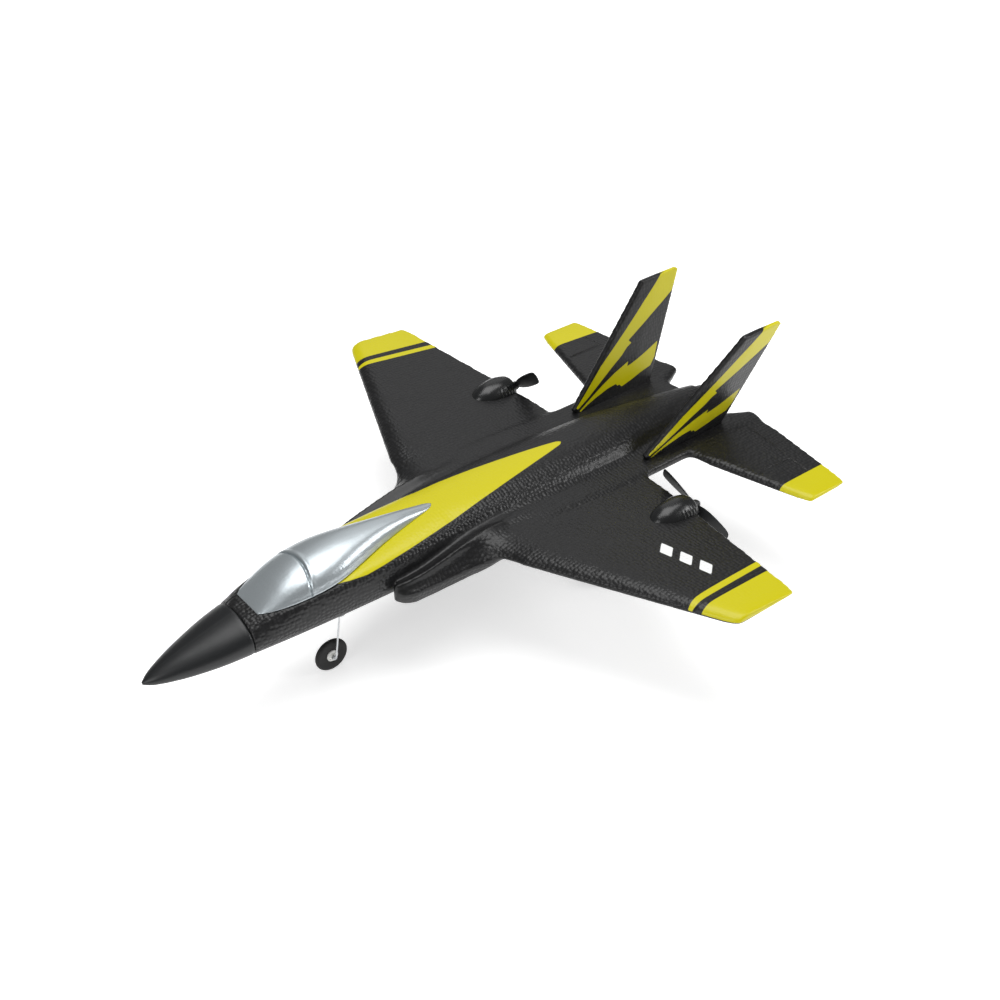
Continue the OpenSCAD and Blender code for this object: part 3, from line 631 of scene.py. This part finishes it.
def shoulder(x, s):
    """Height of the deck: the intake's crest carries on over it until it dies
    away, and outside the crest it rises from the wing's leading edge."""
    crest = line(s, CREST_X)
    out = min(max((abs(x) - crest) / 7, 0), 1)
    out = out * out * (3 - 2 * out)
    low = line(s, [(160, 5.4), (166, 4.2), (174, 2.4), (184, 0.8), (194, 0)])
    tall = line(s, [(160, 0), (168, 0.7), (176, 0.9), (187, 0.7), (198, 0)])
    return deck_z(s) - low * out + tall * math.exp(-((abs(x) - crest) / 1.8) ** 2)


# Intake: the crest, the upper edge of its side band, the lower edge and the
# underside, each as it runs along the body
CREST_X = [(115, 24.6), (117, 25.6), (121, 26.8), (128, 27.8), (140, 28.2), (155, 27.9),
           (170, 27), (186, 26), (196, 25.4)]
CREST_Z = [(115, -0.6), (118, 0.2), (125, 1.4), (133, 2.7), (143, 5.2), (153, 7.4), (163, 9.0),
           (170, 9.1), (176, 8.4), (184, 6.6), (192, 3)]
EDGE_X = [(115, 26.4), (116.5, 28.2), (119, 30), (123, 31.2), (135, 32), (145, 33),
          (152, 34.4), (158, 37), (164, 41), (168, 44.5), (192, 47)]
EDGE_Z = [(115, -4.6), (125, -4.3), (137, -4), (147, -3.2), (155, -1.8), (161, 0.6), (168, 3.4),
          (180, 3.2), (192, 1.2)]
LOW_X = [(115, 25.6), (116.5, 27), (119, 28.8), (123, 29.8), (135, 30.6), (145, 31.4),
         (153, 32.8), (160, 35.5), (168, 40)]
LOW_Z = [(115, -9.8), (118, -11), (123, -11.7), (135, -11.4), (147, -10.4), (155, -9),
         (162, -6.4), (168, -1.5), (192, -1)]


def intake_ring(s):
    cx, cz = line(s, CREST_X), line(s, CREST_Z)
    ex, ez = line(s, EDGE_X), line(s, EDGE_Z)
    bx, bz = line(s, LOW_X), line(s, LOW_Z)
    groove = cz - line(s, [(115, 0.8), (125, 2.2), (145, 2.8), (168, 2.6)])
    inner = line(s, [(121, 22.9), (125, 18.5)])
    scoop = line(s, [(115, 0.2), (122, 1.1), (150, 1.3), (162, 0.4)])
    half = [(inner, groove), (max(inner, 22.8) + 0.1, groove), (cx - 0.7, cz - 0.4), (cx, cz),
            (cx + 0.7, cz - 0.8)]
    for u in (0.3, 0.6, 0.85):
        half.append((cx + (ex - cx) * u - scoop * math.sin(u * math.pi),
                     cz + (ez - cz) * u - scoop * 0.5 * math.sin(u * math.pi)))
    half += [(ex, ez), (ex, ez - 0.9), ((ex + bx) / 2, (ez + bz) / 2), (bx, bz + 0.6),
             (bx - 1, bz), (inner, bz)]
    return [(x, s, z) for x, z in half]


def intake_skins():
    """One intake: a blunt cheek that stands off the body in front, with its
    crest, scoop and side band, and the fairing that carries on under the wing."""
    rings = [intake_ring(s) for s in (115, 115.4, 116, 117, 118.4, 120.5, 123, 126, 130, 136,
                                      142, 148, 153, 157, 161, 165, 168, 171, 175, 180, 186,
                                      192)]
    skins = [loft(rings)]
    under = []
    for s in (157, 170, 185, 200, 215, 228, 240, 250):
        low = line(s, [(157, -8.6), (170, -7), (195, -6), (225, -4.6), (252, 0.6)])
        out = line(s, [(157, 34), (170, 36), (200, 35), (225, 32), (250, 26)])
        under.append([(19, s, 1), (out, s, 1), (out, s, low * 0.45), (out - 1.2, s, low * 0.85),
                      (out - 3.2, s, low), (19, s, low)])
    skins.append(loft(under))
    return skins


def wing_le(x):
    """The wing's front edge; the next two are its rear edge and middle height."""
    return WING_S + (x - ROOT_HALF) * SWEEP


TIP_TE = wing_le(TIP_X) + TIP_CHORD


def wing_te(x):
    return PANEL_TE + (TIP_TE - PANEL_TE) * (x - ROOT_HALF) / (TIP_X - ROOT_HALF)


def wing_mid(x, v):
    return 3.9 + (2 - 3.9) * v + 6.8 * (x - ROOT_HALF) / (TIP_X - ROOT_HALF)


def foil(x, le, te, thick, tail, mid0, mid1, nose, steps=20):
    """A foam panel's section: a round nose that droops, thinning to its tail."""
    up, low = [], []
    for i in range(steps + 1):
        v = (i / steps) ** 2
        u = min(v * (te - le) / nose, 1)
        slim = min(max((v - 0.2) / 0.8, 0), 1)
        h = math.sqrt(1 - (1 - u) ** 2) * (thick + (tail - thick) * slim ** 1.15) / 2
        s, m = le + (te - le) * v, mid0 + (mid1 - mid0) * v - 0.26 * thick * (1 - u) ** 2
        up.append((x, s, m + h))
        low.append((x, s, m - h))
    return up + low[:0:-1]


def wing_skin():
    rings = []
    for k in (-0.06, 0, 0.13, 0.35, 0.6, 0.82, 0.95, 0.985, 1):
        x = ROOT_HALF + k * (TIP_X - ROOT_HALF)
        full = line(k, [(0, 1), (0.35, 0.9), (0.6, 0.8), (0.82, 0.72), (0.97, 0.66), (1, 0.5)])
        inset = line(k, [(0, 0), (0.965, 0), (0.985, 0.5), (1, 1.6)])
        rings.append(foil(x, wing_le(x) + inset, wing_te(x) - inset * 0.6, 7.2 * full,
                          line(k, [(0, 2), (1, 1.4)]), wing_mid(x, 0), wing_mid(x, 1),
                          line(k, [(0, 24), (0.12, 16), (0.3, 10), (1, 7)])))
    return loft(rings)


def stab_skin():
    rings = []
    front, back_sweep, root, tip, reach = 288.5, 18.3, 53, 25.4, 65
    for k in (-0.05, 0, 0.5, 0.9, 0.975, 1):
        le = front + back_sweep * k
        chord = root + (tip - root) * k
        inset = line(k, [(0, 0), (0.95, 0), (1, 0.9)])
        full = line(k, [(0, 1), (0.5, 0.9), (0.95, 0.78), (1, 0.55)])
        rings.append(foil(ROOT_HALF + reach * k, le + inset, le + chord - inset, 4.4 * full, 1.6,
                          2.5, 2.5, 4))
    return loft(rings)


# ---------------------------------------------------------------- markings
# The spine's stripe, the port wing's mark and the two bolts on a fin
STRIPE = [(0, 234.6), (1.6, 232.4), (3.4, 224), (6.3, 208), (10.2, 185), (13.2, 165),
          (15.4, 147), (17.0, 130), (18.1, 114), (18.4, 105), (17.6, 96), (16.2, 90)]
WING_MARK = (100.4, 223.1)
# The measure of a marking that a point is nowhere near
NOWHERE = -9.0
BOLT_WIDE = [(267.4, 7.6), (274.7, 14), (286.4, 24.6), (296, 31.6), (304.5, 37.9),
             (312.8, 44.4), (319.3, 49.7), (325.9, 54.9), (332.6, 60.4), (347.5, 61.5),
             (345.9, 58.1), (340.3, 49.1), (333.3, 45.5), (322.5, 40.3), (314, 36),
             (306.5, 32.2), (308.4, 30.3), (305.2, 28.9), (300.8, 25.4), (293.4, 21.2),
             (284.8, 15.9), (275.3, 10.2), (268.2, 6.6)]
BOLT_NARROW = [(268.8, 5.2), (279.3, 10.6), (286.1, 13.9), (295, 17.6), (305.4, 21),
               (304.1, 18.4), (307.2, 18.9), (314.5, 20.7), (320.9, 22.6), (327.6, 24.8),
               (324.6, 16.6), (321, 12.8), (313.7, 11.7), (307.4, 10.3), (299.2, 8.6),
               (297.7, 10.4), (296.4, 9.9), (295.5, 11.4), (289.3, 10.8), (282.1, 9),
               (274.9, 6.9), (270, 4.8)]


def airframe_marks(obj):
    """Measures, for every point, how far it lies inside each marking."""
    x, s, z = model(points_of(obj))
    ax = np.abs(x)
    le = wing_le(ax)
    v = np.clip((s - le) / (wing_te(ax) - le), 0, 1)
    over = z - wing_mid(ax, v) + 0.9
    wing = np.minimum(ax - 60, 282.5 - s)
    # the tip's broad patch, and the thin line inboard of it
    tip = np.minimum(ax - (131.4 - 2.4 * v + 0.9 * np.exp(-v * 9)), over)
    thin_low = 124.7 - 3.5 * v + 1.9 * np.exp(-v * 9)
    thin = np.minimum(np.minimum(ax - thin_low, 128.3 - 3.7 * v - ax), over)
    yellow = np.minimum(np.maximum(tip, thin), wing)
    stripe = inside(ax, s, [(-STRIPE[-1][0], 90)] + STRIPE[::-1] + [(-1, 234.6)])
    yellow = np.maximum(yellow, np.minimum(stripe, z - 3))
    stab = np.minimum(np.minimum(ax - 85 + 0.03 * (s - 305), s - 270), z - 1.6)
    yellow = np.maximum(yellow, stab)
    mark(obj, "yellow_mm", yellow)
    # beads show most on the flanks, and not on the band beside the intake's crest
    flank = np.clip((23.2 - ax) / 1.5, 0, 1)
    relief = 0.55 + flank * (0.4 - 0.45 * np.clip((s - 175) / 50, 0, 1))
    crest = line(s, CREST_Z)
    cheek = np.clip((s - 112) / 3, 0, 1) * np.clip((188 - s) / 10, 0, 1)
    cheek *= np.clip((ax - 18) / 2, 0, 1) * np.clip((30 - ax) / 2, 0, 1)
    cheek *= np.clip((crest + 2.6 - z) / 1.4, 0, 1)
    relief = relief * (1 - 0.9 * cheek) * np.where(yellow > -0.4, 0.25, 1)
    mark(obj, "relief", relief)
    # three slanted bars, the generic mark on the port wing
    cx, cs = WING_MARK
    along = ((x - cx) * 31.2 + (s - cs) * 6.7) / 31.9
    cross = (-(x - cx) * 6.7 + (s - cs) * 31.2) / 31.9
    bars = np.full(len(x), NOWHERE)
    for centre in (-10.6, 0, 10.6):
        slant = along - centre + cross * 0.55
        bars = np.maximum(bars, np.minimum(3.2 - np.abs(slant), 3.4 - np.abs(cross)))
    mark(obj, "white_mm", np.minimum(bars, z - 3))
    # moulded grooves on the tailplanes, cut into the bump and darkened to near black as painted
    # shade
    lines = 0.6 - np.minimum.reduce([
        near(ax, s, [(71, 303), (71.3, 324)]),
        near(ax, s, [(38, 329.4), (67, 325.6)]) + 0.25,
        near(ax, s, [(71.3, 325.2), (84, 323.6)]) + 0.35])
    mark(obj, "groove_and_shade_mm", np.minimum(lines, z - 2.4))


def fin_marks(obj):
    """Measures how far every point lies inside the two bolts."""
    x, s, z = model(points_of(obj))
    bolts = np.maximum(inside(s, z, BOLT_WIDE), inside(s, z, BOLT_NARROW))
    mark(obj, "yellow_mm", bolts)
    mark(obj, "white_mm", np.full(len(x), NOWHERE))
    mark(obj, "groove_and_shade_mm", np.full(len(x), NOWHERE))
    mark(obj, "relief", np.where(bolts > -0.4, 0.12, 0.3))


# ---------------------------------------------------------------- settings
class JetLook(bpy.types.PropertyGroup):
    black: FloatVectorProperty(name="Foam black", description="Colour of the moulded foam",
                               subtype="COLOR", default=linear("#1e1e1f"), min=0, max=1)
    yellow: FloatVectorProperty(name="Marking yellow", description="Colour of the markings",
                                subtype="COLOR", default=linear("#c9c000"), min=0, max=1)
    silver: FloatVectorProperty(name="Canopy silver", description="Colour of the canopy paint",
                                subtype="COLOR", default=linear("#bfc7cb"), min=0, max=1)
    bead_mm: FloatProperty(name="Bead size", description="Width of one foam bead, in mm",
                           default=1.9, min=1, max=5)
    bead_relief: FloatProperty(name="Bead relief", description="How strongly the beads show",
                               default=0.75, min=0, max=1)


class JetSizes(bpy.types.PropertyGroup):
    skin_cell: FloatProperty(name="Skin cell", description="Mesh cell of the airframe, in mm",
                             default=0.8, min=0.5, max=2)
    fin_cell: FloatProperty(name="Fin cell", description="Mesh cell of a fin, in mm",
                            default=0.6, min=0.4, max=2)
    soft_rounds: IntProperty(name="Soft edges", description="Rounds of softening overall",
                             default=4, min=0, max=30)
    fillet_rounds: IntProperty(name="Fillets", description="Rounds of softening at the body",
                               default=60, min=0, max=200)
    leg_bend: FloatProperty(name="Leg bend", description="Radius of a bend in the leg wire",
                            default=2.0, min=0.5, max=5)


# ---------------------------------------------------------------- operators
class JET_OT_materials(bpy.types.Operator):
    """Makes the materials and paints the parts that keep their CAD shape"""
    bl_idname = "jet.materials"
    bl_label = "Materials and kept parts"

    def execute(self, context):
        build_materials(context.scene.jet_look)
        for node, key in KEPT.items():
            paint(node, key)
        return {"FINISHED"}


class JET_OT_airframe(bpy.types.Operator):
    """Moulds the body, wings, tailplane and intakes as one foam skin"""
    bl_idname = "jet.airframe"
    bl_label = "Foam airframe"

    def execute(self, context):
        sizes = context.scene.jet_sizes
        skins = [body_skin(SEAM_S, BODY_END, 2.0)] + deck_skin()
        for half in intake_skins() + [wing_skin(), stab_skin()]:
            skins += [half, mirrored(half)]
        obj = fuse(make("foam_airframe", skins), sizes.skin_cell)
        if len(obj.data.vertices) < 20000:
            raise RuntimeError("the airframe skin did not fuse")
        relax(obj, sizes.soft_rounds)
        # fillets beside the body and where the wing panel meets the deck
        x, s, z = model(points_of(obj))
        ax = np.abs(x)
        root = np.clip(1 - np.abs(ax - 22) / 9, 0, 1) * np.clip((s - 182) / 16, 0, 1)
        root *= np.clip((z - 2) / 3, 0, 1)
        wing_root = np.clip(1 - np.abs(ax - 39) / 9, 0, 1) * np.clip((s - 156) / 10, 0, 1)
        relax(obj, sizes.fillet_rounds, np.maximum(root, wing_root * 0.5))
        # the wing's leading edge flows into the intake's side
        flow = np.clip((ax - 31) / 3, 0, 1) * np.clip((52 - ax) / 6, 0, 1)
        flow *= np.clip((s - 146) / 8, 0, 1) * np.clip((198 - s) / 14, 0, 1)
        flow *= np.clip((z - 1.5) / 2.5, 0, 1)
        relax(obj, sizes.fillet_rounds * 2, flow)
        airframe_marks(obj)
        finish_piece(obj, "airframe", "foam_black", MATERIALS["foam"], "fuselage",
                     "intake_port", "intake_starboard", "wing_port", "wing_starboard",
                     "stab_port", "stab_starboard")
        return {"FINISHED"}


class JET_OT_fins(bpy.types.Operator):
    """Cuts the two canted fins from foam and stands them in their slots"""
    bl_idname = "jet.fins"
    bl_label = "Fins"

    def execute(self, context):
        cell = context.scene.jet_sizes.fin_cell
        foot_x, half_thick, lean = 26, 1.6, math.radians(10.5)
        tall = 60.6 / math.cos(lean)
        edge = [(265.5, 6.6), (268.5, 2.6), (319, 2.6), (320.5, 4), (346, tall - 1.6),
                (344, tall), (319.6, tall - 0.2), (317, tall - 3)]
        for side, name in SIDES:
            rings = []
            for t in (-half_thick, half_thick):
                rings.append([(side * (foot_x + z * math.sin(lean) + t * math.cos(lean)), s,
                               z * math.cos(lean) - t * math.sin(lean)) for s, z in edge])
            obj = fuse(make("fin_" + name, [loft(rings)]), cell)
            x, s, z = model(points_of(obj))
            # the trailing third thins towards its edge
            rear = 320 + (z - 4) * 26 / 57
            thin = np.clip((s - rear + 16) / 16, 0, 1) * 0.5
            middle = side * (foot_x + z * math.tan(lean))
            co = points_of(obj)
            co[:, 0] = (x + (middle - x) * thin) * MM
            obj.data.vertices.foreach_set("co", co.ravel())
            relax(obj, 5)
            fin_marks(obj)
            finish_piece(obj, "airframe", "foam_black", MATERIALS["foam"], "fin_" + name)
        return {"FINISHED"}


class JET_OT_nose(bpy.types.Operator):
    """Turns the smooth nose cone up to its seam"""
    bl_idname = "jet.nose"
    bl_label = "Nose cone"

    def execute(self, context):
        stations = [0, 0.6, 1.4, 2.4, 3.6, 5] + list(np.arange(7, 46.5, 1.5)) + [46.6, 47.2]
        rings = []
        for s in stations:
            ring = body_ring(min(s, SEAM_S), 16)
            lip = 1.0 if s < 46.4 else 1 - (s - 46.4) * 0.06
            middle = curve(min(s, SEAM_S), MIDDLES)
            rings.append([(x * lip, s, middle + (z - middle) * lip) for x, _, z in ring])
        obj = make("nose_skin", [loft(rings)])
        finish_piece(obj, "airframe", "nose_skin", MATERIALS["nose"], "nose_cone")
        return {"FINISHED"}


class JET_OT_canopy(bpy.types.Operator):
    """Shapes the silver canopy with its frames and its raised lower edge"""
    bl_idname = "jet.canopy"
    bl_label = "Canopy"

    def execute(self, context):
        rows, across = 170, 72
        rings, grooves, relief = [], [], []
        for r in range(rows + 1):
            s = 53.6 + (CANOPY_END - 53.6) * r / rows
            c, t, k = sill_half(s), sill_z(s), curve(s, CROWNS)
            ring = []
            for i in range(across + 1):
                a = math.pi * i / across
                x, z = -c * math.cos(a), t + (k - t) * math.sin(a) ** 0.9
                # windscreen frame: a hoop swept back towards the crown
                hoop = 77.3 + 3.5 * math.sin(a) ** 2
                gap = abs(s - hoop)
                rise = 0.35 * math.exp(-((s - hoop - 1.4) / 1.0) ** 2)
                z += (rise - 0.45 * math.exp(-(gap / 0.55) ** 2)) * math.sin(a) ** 0.3
                # raised lower edge
                low = math.exp(-((z - t) / 1.1) ** 2) * (1 if math.sin(a) > 0.02 else 0)
                ring.append((x * (1 + 0.05 * low), s, z))
                grooves.append(0.5 - gap * 0.9)
                relief.append(0.12 + 0.75 * max(1 - (z - t) / (k - t) * 1.5, 0) * (1 - low))
            ring += [(c * 0.6, s, t - 0.4), (-c * 0.6, s, t - 0.4)]
            grooves += [NOWHERE, NOWHERE]
            relief += [0.1, 0.1]
            rings.append(ring)
        obj = make("canopy_shell", [loft(rings)])
        mark(obj, "relief", relief)
        # the groove measure drives the frame's cut in the bump and its painted shade
        mark(obj, "groove_and_shade_mm", grooves)
        finish_piece(obj, "airframe", "foam_silver", MATERIALS["silver"], "canopy")
        return {"FINISHED"}


POD_X, POD_Z, POD_S, POD_END, POD_R = 68.7, 3.2, 231.3, 257.3, 8.6
POD = [(0, 0.0), (0.006, 0.12), (0.02, 0.23), (0.045, 0.35), (0.088, 0.48), (0.142, 0.61),
       (0.26, 0.8), (0.37, 0.905), (0.49, 0.965), (0.64, 1), (0.76, 0.975), (0.9, 0.88),
       (0.96, 0.8), (1, 0.7)]


class JET_OT_pods(bpy.types.Operator):
    """Moulds the two motor pods with their cooling ribs"""
    bl_idname = "jet.pods"
    bl_label = "Motor pods"

    def execute(self, context):
        long, steps = POD_END - POD_S, 96
        for side, name in SIDES:
            rings = []
            for i in range(171):
                u = (i / 170) ** 1.25 * 0.985
                # ribs run round the flanks of the rear half and fade over the top
                along = math.sin((u * long - 14.2) / 2.15 * 2 * math.pi)
                fade = min(max((u - 0.5) * 9, 0), 1) * min(max((0.97 - u) * 30, 0), 1)
                ring = []
                for k in range(steps):
                    a = 2 * math.pi * k / steps
                    flank = min(max(1.25 - math.sin(a) * 1.6, 0), 1)
                    r = curve(u, POD) * POD_R + 0.3 * along * fade * flank
                    r = max(r, 0.02)
                    ring.append((side * POD_X + r * math.cos(a), POD_S + u * long,
                                 POD_Z + r * math.sin(a)))
                rings.append(ring)
            for s, r in ((POD_END - 0.1, 5.4), (POD_END, 4.9), (POD_END, 1.9), (POD_END - 1, 1.7)):
                rings.append([(side * POD_X + r * math.cos(2 * math.pi * k / steps), s,
                               POD_Z + r * math.sin(2 * math.pi * k / steps))
                              for k in range(steps)])
            obj = make("pod_shell_" + name, [loft(rings)])
            finish_piece(obj, "airframe", "abs_black", MATERIALS["pod"], "motor_pod_" + name)
        return {"FINISHED"}


HUB_S, HUB_LEN, PROP_R, PROP_CHORD = 257.9, 5.2, 23.5, 7.4
# A blade: share of the radius, share of the widest chord, pitch in degrees
BLADE = [(0.07, 0.4, 27), (0.12, 0.5, 25), (0.22, 0.7, 21), (0.32, 0.83, 19), (0.42, 0.92, 17),
         (0.55, 0.98, 15), (0.65, 1, 14), (0.76, 1, 13), (0.86, 0.98, 12), (0.92, 0.93, 11.5),
         (0.96, 0.84, 11), (0.985, 0.68, 11), (0.997, 0.45, 11)]


def blade_skin(spin, mirror):
    rings = []
    for share, chord, pitch in BLADE:
        r, c, a = share * PROP_R, chord * PROP_CHORD, math.radians(pitch)
        thick = 0.95 - 0.5 * share
        ring = []
        for i in range(20):
            t = 2 * math.pi * i / 20
            u = 0.5 * math.cos(t)
            h = thick * (0.5 * math.sin(t) * (1 - 0.35 * math.cos(t)) + 0.22 * (1 - 4 * u * u))
            ring.append((r, u * c * math.sin(a) + h * math.cos(a),
                         u * c * math.cos(a) - h * math.sin(a)))
        rings.append(ring)
    points, faces = loft(rings)
    turn = Matrix.Rotation(math.radians(spin), 3, "Y")
    placed = []
    for p in points:
        q = turn @ Vector(p)
        placed.append((mirror * (POD_X + q.x), HUB_S + HUB_LEN / 2 + q.y, POD_Z + q.z))
    return placed, faces


class JET_OT_propellers(bpy.types.Operator):
    """Moulds the two-blade propellers on their hubs"""
    bl_idname = "jet.propellers"
    bl_label = "Propellers"

    def execute(self, context):
        hub = [(0, 0.6), (0, 2.2), (0.3, 2.4), (3.4, 2.4), (3.8, 2.3), (HUB_LEN - 0.5, 1.8),
               (HUB_LEN, 1.4), (HUB_LEN, 0.5)]
        for side, name, spin in ((1, "port", 18), (-1, "starboard", 38)):
            skins = [lathe(hub, 36, (side * POD_X, HUB_S, POD_Z), "y")]
            skins += [blade_skin(spin + turn, side) for turn in (0, 180)]
            obj = make("propeller_blades_" + name, skins)
            obj.data.set_sharp_from_angle(angle=math.radians(50))
            finish_piece(obj, "propeller_" + name + "_unit", "prop_black", MATERIALS["nylon"],
                         "propeller_" + name)
        return {"FINISHED"}


AXLE_Z, WHEEL_R, TYRE_HALF, HUB_R = -47.3, 8.7, 1.5, 3.0
NOSE_AXLE_S, MAIN_AXLE_S, MAIN_X = 93.2, 244.0, 38.0


class JET_OT_wheels(bpy.types.Operator):
    """Cuts the rubber tyres and moulds the white hubs"""
    bl_idname = "jet.wheels"
    bl_label = "Wheels"

    def execute(self, context):
        tyre = [(-TYRE_HALF + 0.5, HUB_R - 0.05), (-TYRE_HALF + 0.3, HUB_R + 0.4),
                (-TYRE_HALF, WHEEL_R - 2), (-1.42, WHEEL_R - 1.2), (-1.15, WHEEL_R - 0.55),
                (-0.75, WHEEL_R - 0.18), (-0.35, WHEEL_R)]
        tyre = tyre + [(-a, r) for a, r in tyre[::-1]]
        hub = [(-2.1, 0.58), (-2.1, 1.2), (-1.75, 1.35), (-1.3, 1.5), (-1.25, 2.2),
               (-1.6, 2.45), (-1.6, 2.85), (-1.45, HUB_R)]
        hub = hub + [(-a, r) for a, r in hub[::-1]]
        for name, x, s, tyre_node, hub_node in (
                ("nose_wheel", 0, NOSE_AXLE_S, "nose_tyre", "nose_hub"),
                ("main_wheel_port", MAIN_X, MAIN_AXLE_S, "tyre_port", "hub_port"),
                ("main_wheel_starboard", -MAIN_X, MAIN_AXLE_S, "tyre_starboard",
                 "hub_starboard")):
            for label, profile, node, slot, key in (
                    ("_rubber", tyre, tyre_node, "tyre_rubber", "rubber"),
                    ("_centre", hub, hub_node, "hub_white", "hub")):
                obj = make(name + label, [lathe(profile, 64, (x, s, AXLE_Z), "x")])
                obj.data.set_sharp_from_angle(angle=math.radians(35))
                finish_piece(obj, name, slot, MATERIALS[key], node)
        return {"FINISHED"}


class JET_OT_legs(bpy.types.Operator):
    """Bends the wire legs and moulds the clear sockets that hold them"""
    bl_idname = "jet.legs"
    bl_label = "Legs"

    def execute(self, context):
        bend = context.scene.jet_sizes.leg_bend
        steel = MATERIALS["steel"]
        nose = tube("nose_leg", [(0, 100, -17.5), (0, 99.3, -28), (4.3, NOSE_AXLE_S, AXLE_Z),
                                 (-3.8, NOSE_AXLE_S, AXLE_Z)], 1.0, "airframe", "steel", steel,
                    bend)
        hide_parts("nose_leg_wire")
        for side, name in SIDES:
            route = [(28, 248, -2), (28, 248, -11), (33.7, MAIN_AXLE_S, AXLE_Z),
                     (41.8, MAIN_AXLE_S, AXLE_Z)]
            tube("main_leg_" + name, [(side * x, s, z) for x, s, z in route], 1.0,
                              "airframe", "steel", steel, bend)
        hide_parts("main_leg_wires")
        clear = MATERIALS["clear"]
        rounded_box("nose_leg_socket_plate", (-6, 92, -16.6), (6, 108, -15.2), 0.4,
                    "airframe", "clear_plastic", clear, "nose_leg_mount")
        post = [(-26, 0.5), (-26, 1.9), (-25.6, 2.3), (-17.5, 2.4), (-16.2, 3.2), (-16.2, 0.5)]
        obj = make("nose_leg_socket", [lathe(post, 40, (0, 100, 0), "z")])
        finish_piece(obj, "airframe", "clear_plastic", clear)
        for side, name in SIDES:
            x0, x1 = sorted((side * 24.5, side * 31.5))
            block = rounded_box("main_leg_socket_" + name, (x0, 242, -9.5), (x1, 254, 0), 0.8,
                                "airframe", "clear_plastic", clear)
            if side == 1:
                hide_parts("main_leg_mounts")
        return {"FINISHED"}


class JET_OT_belly(bpy.types.Operator):
    """Fits the wrapped cell into the battery box in the belly"""
    bl_idname = "jet.belly"
    bl_label = "Battery cell"

    def execute(self, context):
        x, s, z = model(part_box("battery_cell"))
        rounded_box("pouch_cell", (x[0], s[0], z[0]), (x[1], s[1], z[1]), 1.6, "airframe",
                    "cell_blue", MATERIALS["cell"], "battery_cell")
        return {"FINISHED"}


# The camera: degrees round and up, metres away, what it looks at and its lens
AZIMUTH, ELEVATION, DISTANCE = math.radians(51.38), math.radians(36.53), 0.7038
TARGET, LENS, SENSOR = Vector((0.01026, 0.0144, 0.062)), 52.8, 36
# Soft lights: name, place and size in metres, power in watts
LIGHTS = (("softbox_top", (-0.05, 0.1, 1.3), 1.0, 12.5),
          ("softbox_rear_port", (0.75, 0.95, 0.75), 0.45, 5.0),
          ("softbox_rear_starboard", (-0.85, 0.7, 0.85), 0.8, 1.2),
          ("softbox_front", (0.35, -1.3, 0.95), 0.7, 6.0))


class JET_OT_stage(bpy.types.Operator):
    """Sets the pale floor, the soft lights and the camera"""
    bl_idname = "jet.stage"
    bl_label = "Stage"

    def execute(self, context):
        scene = context.scene
        mesh = bpy.data.meshes.new("floor")
        mesh.from_pydata([(-6, -6, 0), (6, -6, 0), (6, 6, 0), (-6, 6, 0)], [], [(0, 1, 2, 3)])
        floor = bpy.data.objects.new("floor", mesh)
        scene.collection.objects.link(floor)
        paper, _, shader = fresh("white_backdrop_paper")
        shader.inputs["Base Color"].default_value = rgba(linear("#f4f4f4"))
        shader.inputs["Roughness"].default_value = 0.9
        shader.inputs["Specular IOR Level"].default_value = 0.1
        shader.inputs["Emission Color"].default_value = rgba(linear("#ffffff"))
        shader.inputs["Emission Strength"].default_value = 0.55
        mesh.materials.append(paper)
        world_light = bpy.data.worlds.new("studio")
        world_light.use_nodes = True
        back = world_light.node_tree.nodes["Background"]
        back.inputs["Color"].default_value = rgba(linear("#ffffff"))
        back.inputs["Strength"].default_value = 0.22
        scene.world = world_light
        aim = Vector((0, 0.02, 0.05))
        for name, place, size, power in LIGHTS:
            light = bpy.data.lights.new(name, "AREA")
            light.size = size
            light.energy = power
            lamp = bpy.data.objects.new(name, light)
            lamp.location = place
            lamp.rotation_euler = (Vector(place) - aim).to_track_quat("Z", "Y").to_euler()
            scene.collection.objects.link(lamp)
        back_way = Vector((math.sin(AZIMUTH) * math.cos(ELEVATION),
                           -math.cos(AZIMUTH) * math.cos(ELEVATION), math.sin(ELEVATION)))
        camera = bpy.data.cameras.new("camera")
        camera.sensor_width = SENSOR
        camera.lens = LENS
        eye = bpy.data.objects.new("camera", camera)
        eye.location = TARGET + back_way * DISTANCE
        eye.rotation_euler = back_way.to_track_quat("Z", "Y").to_euler()
        scene.collection.objects.link(eye)
        scene.camera = eye
        scene.view_settings.view_transform = "Standard"
        return {"FINISHED"}


class JET_PT_panel(bpy.types.Panel):
    bl_label = "Foam jet"
    bl_idname = "JET_PT_panel"
    bl_space_type = "VIEW_3D"
    bl_region_type = "UI"
    bl_category = "Foam jet"

    def draw(self, context):
        layout = self.layout
        for group in (context.scene.jet_look, context.scene.jet_sizes):
            box = layout.box()
            for name in group.__annotations__:
                box.prop(group, name)
        for operator in OPERATORS:
            layout.operator(operator.bl_idname)


OPERATORS = (JET_OT_materials, JET_OT_airframe, JET_OT_fins, JET_OT_nose, JET_OT_canopy,
             JET_OT_pods, JET_OT_propellers, JET_OT_wheels, JET_OT_legs, JET_OT_belly,
             JET_OT_stage)
CLASSES = (JetLook, JetSizes) + OPERATORS + (JET_PT_panel,)


def register():
    for cls in CLASSES:
        bpy.utils.register_class(cls)
    bpy.types.Scene.jet_look = PointerProperty(type=JetLook)
    bpy.types.Scene.jet_sizes = PointerProperty(type=JetSizes)


def unregister():
    del bpy.types.Scene.jet_sizes
    del bpy.types.Scene.jet_look
    for cls in reversed(CLASSES):
        bpy.utils.unregister_class(cls)


def main():
    register()
    for operator in OPERATORS:
        group, name = operator.bl_idname.split(".")
        if "FINISHED" not in getattr(getattr(bpy.ops, group), name)():
            raise RuntimeError(operator.bl_label + " did not finish")


if __name__ == "__main__":
    main()
